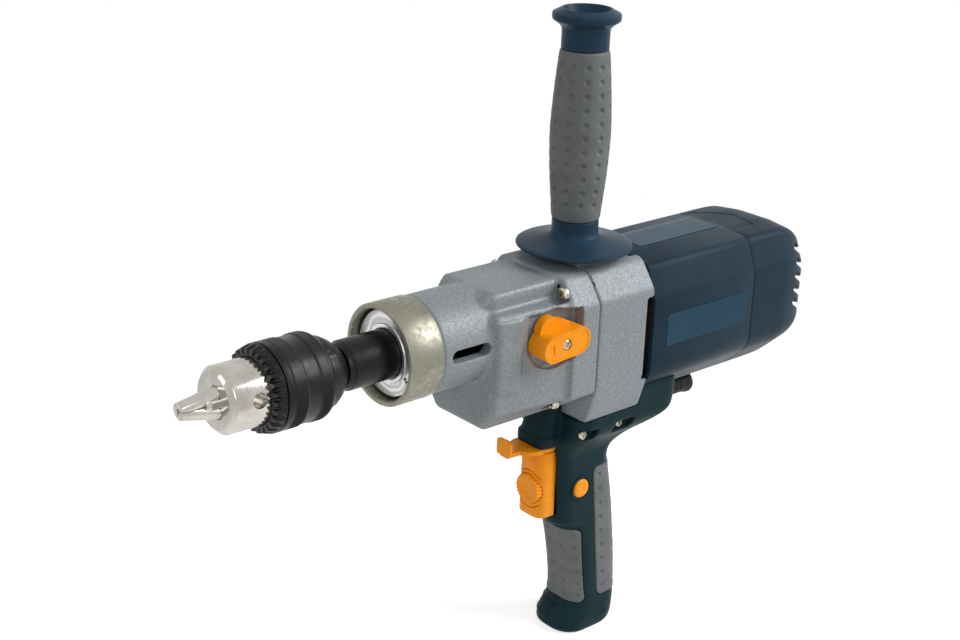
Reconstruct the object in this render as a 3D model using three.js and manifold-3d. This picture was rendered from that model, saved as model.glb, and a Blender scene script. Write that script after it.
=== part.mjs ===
// A two-speed electric drill with a keyed chuck, a machined clamp collar, a cast gearbox, an upright
// side handle and a pistol grip. Millimetres, +Z up, the chuck points along -X and the selector knob
// faces -Y. Inside this file x is counted from the front face of the clamp collar, and y and z from
// the spindle axis; the exported group moves all of it so that z = 0 is the foot of the grip.
import * as THREE from "three";
import { mergeVertices } from "three/addons/utils/BufferGeometryUtils.js";
import Module from "manifold-3d";

// Clearances
const gap = 0.3; // between pieces that touch
const runGap = 0.4; // round turning shafts
const overrun = 2; // how far a cutter passes a face

// Facets
const roundSteps = 20;
const innerSteps = 16;
const smallSteps = 12;
const cornerSteps = 2;

// Chuck
const chuckNoseX = -102.3;
const chuckNoseRadius = 18;
const chuckNoseLip = 2.6;
const chuckRearLip = 1.2;
const chuckNutX = -76;
const chuckNutLength = 5;
const chuckTurn = THREE.MathUtils.degToRad(22);
const chuckNeckRadius = 13.8;
const chuckBodyRadius = 19.5;
const chuckShoulderX = -38;
const chuckRearX = -29.6;
const chuckHubRadius = 14.4;
const chuckShankRadius = 6.5;
const chuckShankDepth = 46;
const chuckThreadRadius = 7.9;
const chuckKeyHoleX = -86.3;
const chuckKeyHoleRadius = 4.2;
const chuckKeyHoleDepth = 8;
const jawTipX = -122.2;
const jawRadius = 4.2;
const jawLength = 50;
const jawBackRadius = 14.4;
const jawTipOffset = 0.5;
const jawSlope = THREE.MathUtils.degToRad(13);
const sleeveRadius = 23.7;
const sleeveWall = 2.3;
const sleeveFrontX = -80.2;
const sleeveRearX = -36.4;
const sleeveShoulder = 9;
const bevelFrontRadius = 22;
const bevelLength = 5.8;
const bevelToothDepth = 3;
const bevelTeeth = 28;
const sleeveGroove = 0.6;
const sleeveGrooveWidth = 1.2;
const sleeveBandX = -60.5;
const sleeveBandWidth = 9.5;

// Spindle, its bearings and the parts in the nose
const spindleHeadRadius = 13.8;
const spindleHeadX = -27.4;
const spindleHeadChamfer = 1.4;
const spindleStubX = -50;
const spindleStubRadius = 7.6;
const spindleSeatRadius = 9.7;
const spindleGearSeatRadius = 8;
const spindleRearX = 125.2;
const bearingFrontX = 10.4;
const bearingFrontLength = 12;
const bearingFrontRadius = 21;
const bearingRearX = 117.4;
const bearingRearLength = 8;
const bearingRearRadius = 12.5;
const bearingGroove = 0.8;
const bearingRim = 1.6;
const retainerX = 4.6;
const retainerThickness = 5;
const retainerRadius = 24.4;
const retainerPinRadius = 1.7;
const retainerPinCircle = 19.8;
const retainerPinDepth = 3;
const collarRadius = 28.5;
const collarLength = 22.8;
const collarWall = 3;
const collarChamfer = 0.8;

// Gearbox
const noseRadius = 27.8;
const noseBoreRadius = 22.4;
const boxFrontX = 56;
const boxChamfer = 3;
const flangeX = 108;
const partingX = 128;
const caseRearX = 171.8;
const castWall = 3.6;
const boxBottomZ = -53;
const boxBottomHalf = 20;
const boxSideZ = -41;
const boxLedgeZ = 17.2;
const boxFrontHalf = 28.8;
const boxRearHalf = 37.2;
const ridgeHalf = 22.5;
const ridgeTopZ = 27.8;
const ridgeCorner = 3.5;
const caseHalf = 38;
const caseTopZ = 29.2;
const caseTopHalf = 26;
const caseShoulderZ = 13;
const caseSideZ = -40;
const caseBottomZ = -63.8;
const caseBottomHalf = 30.8;
const caseCorner = 8;
const caseLowCorner = 3;
const pillarX = 69.5;
const pillarRadius = 6.6;
const pillarProud = 1.5;
const pillarTopZ = 13;
const pillarBottomZ = -27;
const slotX = 42.3;
const slotLength = 27;
const slotWidth = 7.6;
const screwHeadRadius = 4;
const screwHeadHeight = 3;
const screwShankRadius = 2.3;
const screwLength = 26;
const screwPocketRadius = 5.4;
const screwPocketLength = 10;
const screwHighY = 28.6;
const screwHighZ = 20.6;
const screwLowY = 25.2;
const screwLowZ = -46.4;
const webFrontX = 122.4;
const webRearX = 143;
const armatureBoreRadius = 5.8;
const handleBossRadius = 21;
const handleBossTopZ = 34.3;
const airSlotLength = 5.6;
const airSlotTopZ = 8;
const airSlotBottomZ = -44;
const airSlotTopHalf = 21;

// Gears: the countershaft lies beside the armature, on the side away from the selector
const armatureZ = -19;
const mainModule = 1.25;
const firstModule = 0.75;
const lowTeeth = 36;
const lowPinionTeeth = 12;
const highTeeth = 30;
const highPinionTeeth = 18;
const firstTeeth = 32;
const armatureTeeth = 8;
const lowGearX = 97;
const gearWidth = 8;
const firstGearX = 107.6;
const firstGearWidth = 7;
const pinionWidth = 8.6;
const countershaftRadius = 5;
const countershaftFrontX = 62;
const countershaftRearX = 128.4;
const countershaftBearingRadius = 8.6;
const countershaftBearingLength = 6;
const tipShare = 0.9;
const rootShare = 1.15;
const clutchRadius = 14;
const clutchGrooveRadius = 12;
const clutchGrooveWidth = 4;
const clutchWidth = 8;

// Selector
const selectorX = 97;
const selectorZ = -2.6;
const selectorPocketRadius = 17.9;
const selectorPocketY = -30.6;
const selectorPocketTopZ = 14;
const selectorBaseRadius = 15.2;
const selectorBaseHeight = 5;
const selectorBarLength = 34.6;
const selectorBarWidth = 16;
const selectorFaceY = -44.6;
const selectorTilt = THREE.MathUtils.degToRad(15);
const selectorShaftRadius = 5;
const selectorPinOffset = 3.2;
const selectorPinRadius = 1.6;
const selectorShaftEndY = -27.8;
const selectorPinEndY = -25.2;
const selectorPinSlack = 0.9;
const forkThickness = 3;
const forkRadius = 17;
const forkPlateY = -27;
const knobScrewRadius = 3;
const knobScrewDepth = 12;

// Motor
const housingFrontX = 172.3;
const housingRearX = 260;
const capRearX = 328;
const plasticWall = 3;
const housingTopZ = 25;
const housingTopHalf = 30.5;
const housingCrownZ = 27.2;
const housingCrownHalf = 12;
const housingCrownCorner = 14;
const housingHalf = 38.3;
const housingShoulderZ = 5;
const housingSideZ = -44;
const housingBottomZ = -64.6;
const housingBottomHalf = 16;
const housingTopCorner = 6;
const housingSideCorner = 14;
const housingLowCorner = 16;
const spiderThickness = 4;
const spiderWindowRadius = 9;
const spiderWindowCircle = 24;
const capMiddleZ = -31;
const ventPitch = 7.8;
const ventHeight = 3.6;
const ventTopZ = 8;
const ventCount = 5;
const ventInnerHalf = 4;
const ventX = 302;
const shaftRadius = 4.4;
const shaftRearX = 270;
const coreFrontX = 180;
const coreRearX = 228;
const coreRadius = 21;
const statorRadius = 34.9;
const airGap = 0.8;
const coreSlots = 12;
const coreSlotDepth = 3;
const coreSlotWidth = 3.4;
const windingRadius = 19.4;
const windingLength = 7;
const commutatorX = 240;
const commutatorLength = 15;
const commutatorRadius = 12;
const commutatorRiser = 3;
const fanX = 147;
const fanLength = 13;
const fanRadius = 27;
const fanPlate = 2.4;
const fanBlades = 11;
const fanBladeWidth = 2;
const coilHalf = 20.5;
const coilWall = 4.5;
const coilHeight = 5;
const coilOffset = 20.4;
const coilOverhang = 8;
const motorBearingRadius = 11;
const motorBearingLength = 8;
const motorBearingFrontX = 131;
const rearBearingRadius = 9.5;
const rearBearingX = 261;
const brushWidth = 9;
const brushThickness = 6.4;
const brushLength = 13;
const brushHolderWall = 1.6;
const brushHolderLength = 16;

// Side handle
const handleX = 141;
const discRadius = 33.8;
const discRimZ = 34.6;
const discRim = 2.8;
const discNeckZ = 46.8;
const handleNeckRadius = 13.5;
const rubberLowZ = 51.8;
const rubberHighZ = 149;
const rubberCoreRadius = 11.2;
const rubberMiddleRadius = 17.3;
const rubberEndRadius = 14;
const flangeZ = 161;
const flangeRimZ = 165.6;
const flangeRadius = 19.2;
const flangeRim = 2.6;
const handleTopZ = 171.5;
const handleMouthRadius = 13.6;
const handleHollowRadius = 9.4;
const handleHollowDepth = 46;
const studRadius = 5.8;
const studBottomZ = 13;
const studTopZ = 62;

// Pistol grip, counted down from the spindle axis
const gripTopZ = -50;
const gripFootZ = -218.2;
const gripHalf = 17;
const saddleHalf = 31;
const saddleFrontX = 127;
const saddleRearX = 208;
const gripNeckFrontX = 122.5;
const gripNeckRearX = 170.2;
const gripFootFrontX = 133.6;
const gripFootRearX = 183;
const gripFootHalf = 19;
const gripCorner = 12;
const gripScrewXs = [131.5, 161];
const gripScrewZ = -73.4;
const gripScrewSeatY = -25.4;
const gripScrewEndY = 12;
const gripScrewHead = 2.4;
const gripScrewHeadRadius = 3.4;
const gripScrewRadius = 1.7;
const gripScrewPocketLength = 17;
const gripScrewPocketWidth = 7.6;
const padDepth = 2.4;
const padProud = 0.5;
const padGap = 0.3;
const halfGap = 0.15;
const hoodFrontX = 112;
const hoodHalf = 13.2;
const hoodBottomZ = -84;
const hoodCorner = 7;
const hoodTopZ = -75.6;
const hoodNeckX = 119;
const hoodNeckHalf = 12.2;
const triggerFrontX = 115;
const triggerRearX = 126.6;
const triggerHalf = 10.7;
const triggerTopZ = -88.4;
const triggerBottomZ = -131.1;
const triggerTravel = 7;
const triggerStemRadius = 3;
const triggerStemLength = 14;
const triggerCorner = 9.6;
const dialRadius = 9.6;
const dialZ = -113.6;
const dialFrontX = 112.8;
const dialThickness = 5;
const dialNotches = 24;
const dialNotchDepth = 0.7;
const dialFaceShare = 0.93;
const switchFrontX = 134.4;
const switchRearX = 165;
const switchHalf = 10;
const switchTopZ = -92;
const switchBottomZ = -132;
const leverX = 121;
const leverRadius = 11.6;
const leverThickness = 2.6;
const leverTopZ = -84.3;
const leverArmHalf = 4.5;
const leverPaddleX = 93;
const leverPaddleHalf = 6;
const leverPaddleThickness = 2.2;
const leverPaddleTopZ = -75.4;
const leverPinRadius = 3;
const leverPinLength = 7;
const buttonX = 142;
const buttonZ = -115.2;
const buttonRadius = 6.2;
const buttonFaceY = -18.4;
const buttonDepth = 8;
const buttonTravel = 3;
const glandZ = -77;
const glandRadius = 6.2;
const glandMouthRadius = 7.3;
const glandMouthLength = 8;
const glandBore = 4.2;
const glandStartX = 190;
const glandEndX = 248;
const glandFlangeRadius = 9;
const glandFlangeThickness = 3;
const padFrontTopZ = -144.6;
const padFrontBottomZ = -198;
const padFrontTopX = 144;
const padFrontBottomX = 149;
const padRearTopZ = -104.4;
const padRearBottomZ = -196;
const padRearTopX = 153.4;
const padRearBottomX = 163.5;
const padCorner = 4;

const lib = await Module();
lib.setup();

// Working with solids

function solidFrom(geometry) {
  const bare = geometry.clone();
  bare.deleteAttribute("normal");
  bare.deleteAttribute("uv");
  const merged = mergeVertices(bare);
  const kept = [];
  const index = merged.index.array;
  for (let i = 0; i < index.length; i += 3) {
    const [a, b, c] = [index[i], index[i + 1], index[i + 2]];
    if (a !== b && b !== c && c !== a) kept.push(a, b, c);
  }
  return new lib.Manifold(
    new lib.Mesh({
      numProp: 3,
      vertProperties: merged.attributes.position.array,
      triVerts: new Uint32Array(kept),
    }),
  );
}

function geometryFrom(solid) {
  const made = solid.getMesh();
  const geometry = new THREE.BufferGeometry();
  geometry.setAttribute("position", new THREE.BufferAttribute(made.vertProperties, 3));
  geometry.setIndex(new THREE.BufferAttribute(made.triVerts, 1));
  const flat = geometry.toNonIndexed();
  flat.computeVertexNormals();
  return flat;
}

const join = (first, ...rest) => rest.reduce((sum, next) => sum.add(next), first);
const cut = (first, ...rest) => rest.reduce((left, next) => left.subtract(next), first);

function signedArea(points) {
  return points.reduce((sum, [u, v], i) => {
    const [p, q] = points[(i + 1) % points.length];
    return sum + (u * q - p * v) / 2;
  }, 0);
}

// A turned solid. The profile is a list of [place along the axis, radius].
function turned(profile, axis = "x", steps = roundSteps) {
  const outline = profile.map(([place, radius]) => [radius, place]);
  if (signedArea(outline) < 0) outline.reverse();
  const onAxis = outline.findIndex(([radius]) => radius === 0);
  const ordered = onAxis < 0 ? [...outline, outline[0]] : axisFirst(outline);
  const points = ordered.map(([radius, place]) => new THREE.Vector2(radius, place));
  const geometry = new THREE.LatheGeometry(points, steps);
  if (axis === "x") geometry.rotateZ(-Math.PI / 2);
  if (axis === "z") geometry.rotateX(Math.PI / 2);
  return solidFrom(geometry);
}

// Starts the outline at its first point on the axis whose next point lies off it.
function axisFirst(outline) {
  const n = outline.length;
  const start = outline.findIndex(
    ([radius], i) => radius === 0 && outline[(i + 1) % n][0] > 0,
  );
  return outline.map((_, i) => outline[(start + i) % n]);
}

function disc(fromPlace, toPlace, radius, axis = "x", steps = smallSteps) {
  return turned([[fromPlace, 0], [fromPlace, radius], [toPlace, radius], [toPlace, 0]], axis, steps);
}

function ring(fromPlace, toPlace, inner, outer, axis = "x", steps = roundSteps) {
  return turned(
    [[fromPlace, inner], [fromPlace, outer], [toPlace, outer], [toPlace, inner]],
    axis,
    steps,
  );
}

function block([x0, x1], [y0, y1], [z0, z1]) {
  const geometry = new THREE.BoxGeometry(x1 - x0, y1 - y0, z1 - z0);
  geometry.translate((x0 + x1) / 2, (y0 + y1) / 2, (z0 + z1) / 2);
  return solidFrom(geometry);
}

// The closed outline through corners of [u, v, radius], each rounded by its radius.
function rounded(corners, steps = cornerSteps) {
  const list = signedArea(corners) < 0 ? [...corners].reverse() : corners;
  return list.flatMap(([u, v, radius], i) => {
    const here = new THREE.Vector2(u, v);
    const toward = (c) => new THREE.Vector2(c[0], c[1]).sub(here);
    const before = toward(list.at(i - 1));
    const after = toward(list[(i + 1) % list.length]);
    const room = Math.min(before.length(), after.length()) / 2;
    const a = before.normalize();
    const b = after.normalize();
    const half = Math.acos(THREE.MathUtils.clamp(a.dot(b), -1, 1)) / 2;
    const reach = Math.min(radius / Math.tan(half), room);
    if (reach <= 0 || Math.PI / 2 - half < Number.EPSILON) return [[u, v]];
    const size = reach * Math.tan(half);
    const middle = a.clone().add(b).normalize().multiplyScalar(size / Math.sin(half)).add(here);
    const start = a.clone().multiplyScalar(reach).add(here).sub(middle);
    const end = b.clone().multiplyScalar(reach).add(here).sub(middle);
    const turn = Math.atan2(start.x * end.y - start.y * end.x, start.dot(end));
    return Array.from({ length: steps + 1 }, (_, k) => {
      const at = start.clone().rotateAround(new THREE.Vector2(), (turn * k) / steps);
      return [at.x + middle.x, at.y + middle.y];
    });
  });
}

// A closed skin over outlines that stand at places along an axis. Each outline turns the same way
// and has the same number of points.
function loft(stations, axis = "x") {
  const place = {
    x: (at, u, v) => [at, u, v],
    y: (at, u, v) => [v, at, u],
    z: (at, u, v) => [u, v, at],
  }[axis];
  const count = stations[0].outline.length;
  const positions = stations.flatMap(({ at, outline }) => outline.flatMap(([u, v]) => place(at, u, v)));
  const index = [];
  for (let s = 0; s + 1 < stations.length; s++) {
    for (let i = 0; i < count; i++) {
      const a = s * count + i;
      const b = s * count + ((i + 1) % count);
      index.push(a, b, b + count, a, b + count, a + count);
    }
  }
  const capOf = ({ outline }) =>
    THREE.ShapeUtils.triangulateShape(outline.map(([u, v]) => new THREE.Vector2(u, v)), []);
  for (const [a, b, c] of capOf(stations[0])) index.push(a, c, b);
  const last = (stations.length - 1) * count;
  for (const [a, b, c] of capOf(stations.at(-1))) index.push(last + a, last + b, last + c);
  const geometry = new THREE.BufferGeometry();
  geometry.setAttribute("position", new THREE.Float32BufferAttribute(positions, 3));
  geometry.setIndex(index);
  return solidFrom(geometry);
}

const prism = (outline, fromPlace, toPlace, axis = "x") =>
  loft([{ at: fromPlace, outline }, { at: toPlace, outline }], axis);

// Both sides of an outline that is given from the bottom up on one side of its middle.
function mirrored(side) {
  const other = side.map(([u, v, radius]) => [-u, v, radius]).reverse();
  return [...side, ...other];
}

const moved = (solid, x, y, z) => solid.translate([x, y, z]);
const spunX = (solid, angle) => solid.rotate([THREE.MathUtils.radToDeg(angle), 0, 0]);

// Chuck

const jawPlaceRadius = (x) => jawTipOffset + (x - jawTipX) * Math.tan(jawSlope);
const jawAngle = (k) => chuckTurn + Math.PI / 2 + (k * 2 * Math.PI) / 3;

// A straight rod on the line of the jaw that points up, from one x to another.
function jawRod(fromX, toX, radius) {
  const length = (toX - fromX) / Math.cos(jawSlope);
  const rod = disc(0, length, radius, "x", smallSteps);
  const leaning = rod.rotate([0, -THREE.MathUtils.radToDeg(jawSlope), 0]);
  return moved(leaning, fromX, 0, jawPlaceRadius(fromX));
}

function chuckJaw(k) {
  const far = sleeveRadius;
  const wedge = [
    [0, gap],
    [far * Math.sin(Math.PI / 3), gap + far * Math.cos(Math.PI / 3)],
    [0, gap + far],
    [-far * Math.sin(Math.PI / 3), gap + far * Math.cos(Math.PI / 3)],
  ];
  const rearX = jawTipX + jawLength * Math.cos(jawSlope);
  const rod = jawRod(jawTipX - jawRadius, rearX, jawRadius);
  const share = prism(wedge, jawTipX, rearX + jawRadius);
  const back = disc(jawTipX, rearX + jawRadius, jawBackRadius, "x", innerSteps);
  return spunX(rod.intersect(share).intersect(back), jawAngle(k) - Math.PI / 2);
}

function chuckBody() {
  const nutEndX = chuckNutX + chuckNutLength;
  const hubX = chuckShoulderX + (chuckRearX - chuckShoulderX) / 2;
  const body = turned([
    [chuckNoseX, chuckShankRadius],
    [chuckNoseX, chuckNoseRadius - chuckNoseLip],
    [chuckNoseX + chuckNoseLip, chuckNoseRadius],
    [chuckNutX - gap, chuckNoseRadius],
    [chuckNutX - gap, chuckNeckRadius],
    [nutEndX + gap, chuckNeckRadius],
    [nutEndX + gap, chuckBodyRadius],
    [chuckShoulderX, chuckBodyRadius],
    [hubX, (chuckBodyRadius + chuckHubRadius) / 2],
    [chuckRearX - chuckRearLip, chuckHubRadius],
    [chuckRearX, chuckHubRadius - chuckRearLip],
    [chuckRearX, chuckThreadRadius],
    [chuckNoseX + chuckShankDepth, chuckThreadRadius],
    [chuckNoseX + chuckShankDepth, chuckShankRadius],
  ]);
  const bores = [0, 1, 2].map((k) =>
    spunX(jawRod(jawTipX - jawRadius, chuckShoulderX, jawRadius + gap), jawAngle(k) - Math.PI / 2),
  );
  const keyHoles = [0, 1, 2].map((k) => {
    const hole = disc(
      chuckNoseRadius - chuckKeyHoleDepth,
      chuckNoseRadius + overrun,
      chuckKeyHoleRadius,
      "z",
    );
    return spunX(moved(hole, chuckKeyHoleX, 0, 0), jawAngle(k) + Math.PI / 2);
  });
  return cut(body, ...bores, ...keyHoles);
}

// The sleeve with the jaw nut that is pressed into it, and the key's ring of teeth at its front.
function chuckSleeve() {
  const bevelEndX = sleeveFrontX + bevelLength;
  const nutEndX = chuckNutX + chuckNutLength;
  const innerFront = chuckNoseRadius + gap;
  const innerRear = sleeveRadius - sleeveWall;
  const nutBore = (x) => jawPlaceRadius(x) + jawRadius / Math.cos(jawSlope) + gap;
  const lipX = sleeveRearX - sleeveShoulder;
  const bandRadius = sleeveRadius - sleeveGroove;
  const grooveX = bevelEndX + sleeveGrooveWidth;
  const shell = turned([
    [sleeveFrontX, innerFront],
    [sleeveFrontX, bevelFrontRadius],
    [bevelEndX, sleeveRadius],
    [grooveX, sleeveRadius],
    [grooveX, bandRadius],
    [grooveX + sleeveGrooveWidth, bandRadius],
    [grooveX + sleeveGrooveWidth, sleeveRadius],
    [sleeveBandX, sleeveRadius],
    [sleeveBandX, bandRadius],
    [sleeveBandX + sleeveBandWidth, bandRadius],
    [sleeveBandX + sleeveBandWidth, sleeveRadius],
    [lipX, sleeveRadius],
    [(lipX + sleeveRearX) / 2, sleeveRadius - sleeveShoulder / 6],
    [sleeveRearX, chuckBodyRadius + 3 * gap],
    [sleeveRearX, chuckBodyRadius + gap],
    [lipX, chuckBodyRadius + gap],
    [lipX, innerRear],
    [nutEndX, innerRear],
    [nutEndX, nutBore(nutEndX)],
    [chuckNutX, nutBore(chuckNutX)],
    [chuckNutX, innerFront],
  ]);
  const lean = Math.atan2(sleeveRadius - bevelFrontRadius, bevelLength);
  const halfWide = (Math.PI * bevelFrontRadius) / bevelTeeth / 2;
  const notch = prism(
    [
      [-halfWide, bevelToothDepth],
      [0, 0],
      [halfWide, bevelToothDepth],
      [halfWide, bevelToothDepth + overrun],
      [-halfWide, bevelToothDepth + overrun],
    ],
    -overrun,
    bevelLength - gap,
  );
  const placed = moved(
    notch.rotate([0, -THREE.MathUtils.radToDeg(lean), 0]),
    sleeveFrontX,
    0,
    bevelFrontRadius - bevelToothDepth,
  );
  const notches = Array.from({ length: bevelTeeth }, (_, k) =>
    spunX(placed, (k * 2 * Math.PI) / bevelTeeth),
  );
  return cut(shell, ...notches);
}

// Spindle

const clutchTravel = 2 * selectorPinOffset;
const clutchLowX = lowGearX - gap - clutchWidth;
const highGearX = clutchLowX - clutchTravel - gap - gearWidth;

function spindle() {
  const seatEndX = bearingFrontX + bearingFrontLength + gap;
  const head = turned([
    [spindleStubX, 0],
    [spindleStubX, spindleStubRadius - spindleHeadChamfer],
    [spindleStubX + spindleHeadChamfer, spindleStubRadius],
    [spindleHeadX, spindleStubRadius],
    [spindleHeadX, spindleHeadRadius - spindleHeadChamfer],
    [spindleHeadX + spindleHeadChamfer, spindleHeadRadius],
    [bearingFrontX - gap, spindleHeadRadius],
    [bearingFrontX - gap, spindleSeatRadius],
    [seatEndX, spindleSeatRadius],
    [seatEndX + spindleHeadChamfer, spindleGearSeatRadius],
    [bearingRearX - gap, spindleGearSeatRadius],
    [bearingRearX, spindleGearSeatRadius - gap],
    [spindleRearX - spindleHeadChamfer, spindleGearSeatRadius - gap],
    [spindleRearX, spindleGearSeatRadius - spindleHeadChamfer],
    [spindleRearX, 0],
  ]);
  return head;
}

// A shielded ball bearing as one ring, with the shallow groove of its shield on both faces.
function bearing(x, length, inner, outer) {
  const profile = [
    [x, inner],
    [x, inner + bearingRim],
    [x + bearingGroove, inner + bearingRim],
    [x + bearingGroove, outer - bearingRim],
    [x, outer - bearingRim],
    [x, outer],
    [x + length, outer],
    [x + length, outer - bearingRim],
    [x + length - bearingGroove, outer - bearingRim],
    [x + length - bearingGroove, inner + bearingRim],
    [x + length, inner + bearingRim],
    [x + length, inner],
  ];
  return turned(profile, "x", innerSteps);
}

function bearingRetainer() {
  const plate = ring(
    retainerX,
    retainerX + retainerThickness,
    spindleHeadRadius + runGap,
    retainerRadius,
  );
  const pins = [0, 1, 2, 3].map((k) => {
    const hole = disc(retainerX - overrun, retainerX + retainerPinDepth, retainerPinRadius, "x");
    return spunX(moved(hole, 0, 0, -retainerPinCircle), (k - 1 / 3) * (Math.PI / 2));
  });
  return cut(plate, ...pins);
}

function clampCollar() {
  return turned([
    [0, collarRadius - collarWall],
    [0, collarRadius - collarChamfer],
    [collarChamfer, collarRadius],
    [collarLength - collarChamfer, collarRadius],
    [collarLength, collarRadius - collarChamfer],
    [collarLength, collarRadius - collarWall],
  ]);
}

// Gears

// A toothed outline with straight flanks, one tooth centred on the given turn.
function gearOutline(teeth, size, turn) {
  const pitchRadius = (teeth * size) / 2;
  const tip = pitchRadius + tipShare * size;
  const root = pitchRadius - rootShare * size;
  const tipShares = [-0.1, 0.1];
  const rootShares = [0.27, 0.73];
  const at = (radius, share, t) => {
    const angle = turn + ((t + share) * 2 * Math.PI) / teeth;
    return [radius * Math.cos(angle), radius * Math.sin(angle)];
  };
  return Array.from({ length: teeth }, (_, t) => [
    ...tipShares.map((share) => at(tip, share, t)),
    ...rootShares.map((share) => at(root, share, t)),
  ]).flat();
}

function gear(teeth, size, x, width, bore, turn) {
  const wheel = prism(gearOutline(teeth, size, turn), x, x + width);
  return bore > 0 ? cut(wheel, disc(x - overrun, x + width + overrun, bore)) : wheel;
}

// The countershaft's place, from its distances to the spindle and to the armature.
const mainDistance = (mainModule * (lowTeeth + lowPinionTeeth)) / 2;
const firstDistance = (firstModule * (firstTeeth + armatureTeeth)) / 2;
const counterZ = (mainDistance ** 2 - firstDistance ** 2 + armatureZ ** 2) / (2 * armatureZ);
const counterY = Math.sqrt(mainDistance ** 2 - counterZ ** 2);
const spindleToCounter = Math.atan2(counterZ, counterY);
const armatureToCounter = Math.atan2(counterZ - armatureZ, counterY);

// A wheel's tooth points at its partner, and the partner's gap takes it.
const facing = (angle) => angle;
const meeting = (angle, teeth) => angle + Math.PI + Math.PI / teeth;

const lowGear = () =>
  gear(lowTeeth, mainModule, lowGearX, gearWidth, spindleGearSeatRadius + gap, facing(spindleToCounter));
const highGear = () =>
  gear(highTeeth, mainModule, highGearX, gearWidth, spindleGearSeatRadius + gap, facing(spindleToCounter));

function countershaft() {
  const lowPinion = gear(
    lowPinionTeeth,
    mainModule,
    lowGearX,
    gearWidth,
    0,
    meeting(spindleToCounter, lowPinionTeeth),
  );
  const highPinion = gear(
    highPinionTeeth,
    mainModule,
    highGearX,
    gearWidth,
    0,
    meeting(spindleToCounter, highPinionTeeth),
  );
  const rod = disc(countershaftFrontX + gap, countershaftRearX - gap, countershaftRadius);
  return moved(join(rod, lowPinion, highPinion), 0, counterY, counterZ);
}

function firstGear() {
  const wheel = gear(
    firstTeeth,
    firstModule,
    firstGearX,
    firstGearWidth,
    countershaftRadius + gap,
    meeting(armatureToCounter, firstTeeth),
  );
  return moved(wheel, 0, counterY, counterZ);
}

function shiftClutch() {
  const grooveX = (clutchWidth - clutchGrooveWidth) / 2;
  const inner = spindleGearSeatRadius + gap;
  return moved(
    turned([
      [0, inner],
      [0, clutchRadius],
      [grooveX, clutchRadius],
      [grooveX, clutchGrooveRadius],
      [clutchWidth - grooveX, clutchGrooveRadius],
      [clutchWidth - grooveX, clutchRadius],
      [clutchWidth, clutchRadius],
      [clutchWidth, inner],
    ]),
    clutchLowX,
    0,
    0,
  );
}

const countershaftBearing = (x) =>
  moved(
    ring(
      x,
      x + countershaftBearingLength,
      countershaftRadius + gap,
      countershaftBearingRadius,
      "x",
      smallSteps,
    ),
    0,
    counterY,
    counterZ,
  );
const counterBearingFrontX = countershaftFrontX + gap;
const counterBearingRearX = countershaftRearX - countershaftBearingLength - gap;

// Gearbox

const boxHalfAt = (x) =>
  boxFrontHalf + ((boxRearHalf - boxFrontHalf) * (x - boxFrontX)) / (partingX - boxFrontX);

function boxOutline(x, inset) {
  const half = boxHalfAt(x) - inset;
  const corner = Math.max(boxChamfer - inset, gap);
  return rounded(
    mirrored([
      [boxBottomHalf - inset / 2, boxBottomZ + inset, corner],
      [half, boxSideZ + inset / 2, boxChamfer],
      [half, boxLedgeZ - inset, corner],
    ]),
  );
}

function ridgeOutline(inset, drop = 0) {
  return rounded(
    mirrored([
      [ridgeHalf - inset - drop, 0, gap],
      [ridgeHalf - inset - drop, ridgeTopZ - inset - drop, ridgeCorner],
    ]),
  );
}

function caseOutline(inset) {
  return rounded(
    mirrored([
      [caseBottomHalf - inset / 2, caseBottomZ + inset, caseLowCorner],
      [caseHalf - inset, caseSideZ, caseCorner],
      [caseHalf - inset, caseShoulderZ, caseCorner],
      [caseTopHalf - inset / 2, caseTopZ - inset, caseCorner],
    ]),
  );
}

// The flange of the front casting ends at its own bottom, above the foot of the rear case.
function flangeOutline(inset) {
  return rounded(
    mirrored([
      [boxBottomHalf - inset / 2, boxBottomZ + inset, boxChamfer],
      [caseHalf - inset, boxSideZ + inset / 2, boxChamfer],
      [caseHalf - inset, caseShoulderZ, caseCorner],
      [caseTopHalf - inset / 2, caseTopZ - inset, caseCorner],
    ]),
  );
}

const screwPlaces = [
  [-screwHighY, screwHighZ],
  [screwHighY, screwHighZ],
  [-screwLowY, screwLowZ],
  [screwLowY, screwLowZ],
];

function selectorPocket() {
  const floorY = selectorPocketY;
  const round = moved(
    disc(-caseHalf - overrun, floorY, selectorPocketRadius, "y", roundSteps),
    selectorX,
    0,
    selectorZ,
  );
  const above = block(
    [selectorX - selectorPocketRadius, selectorX + selectorPocketRadius],
    [-caseHalf - overrun, floorY],
    [selectorZ, selectorPocketTopZ],
  );
  const hole = moved(
    disc(floorY - overrun, 0, selectorShaftRadius + gap, "y"),
    selectorX,
    0,
    selectorZ,
  );
  return [round, above, hole];
}

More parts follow.
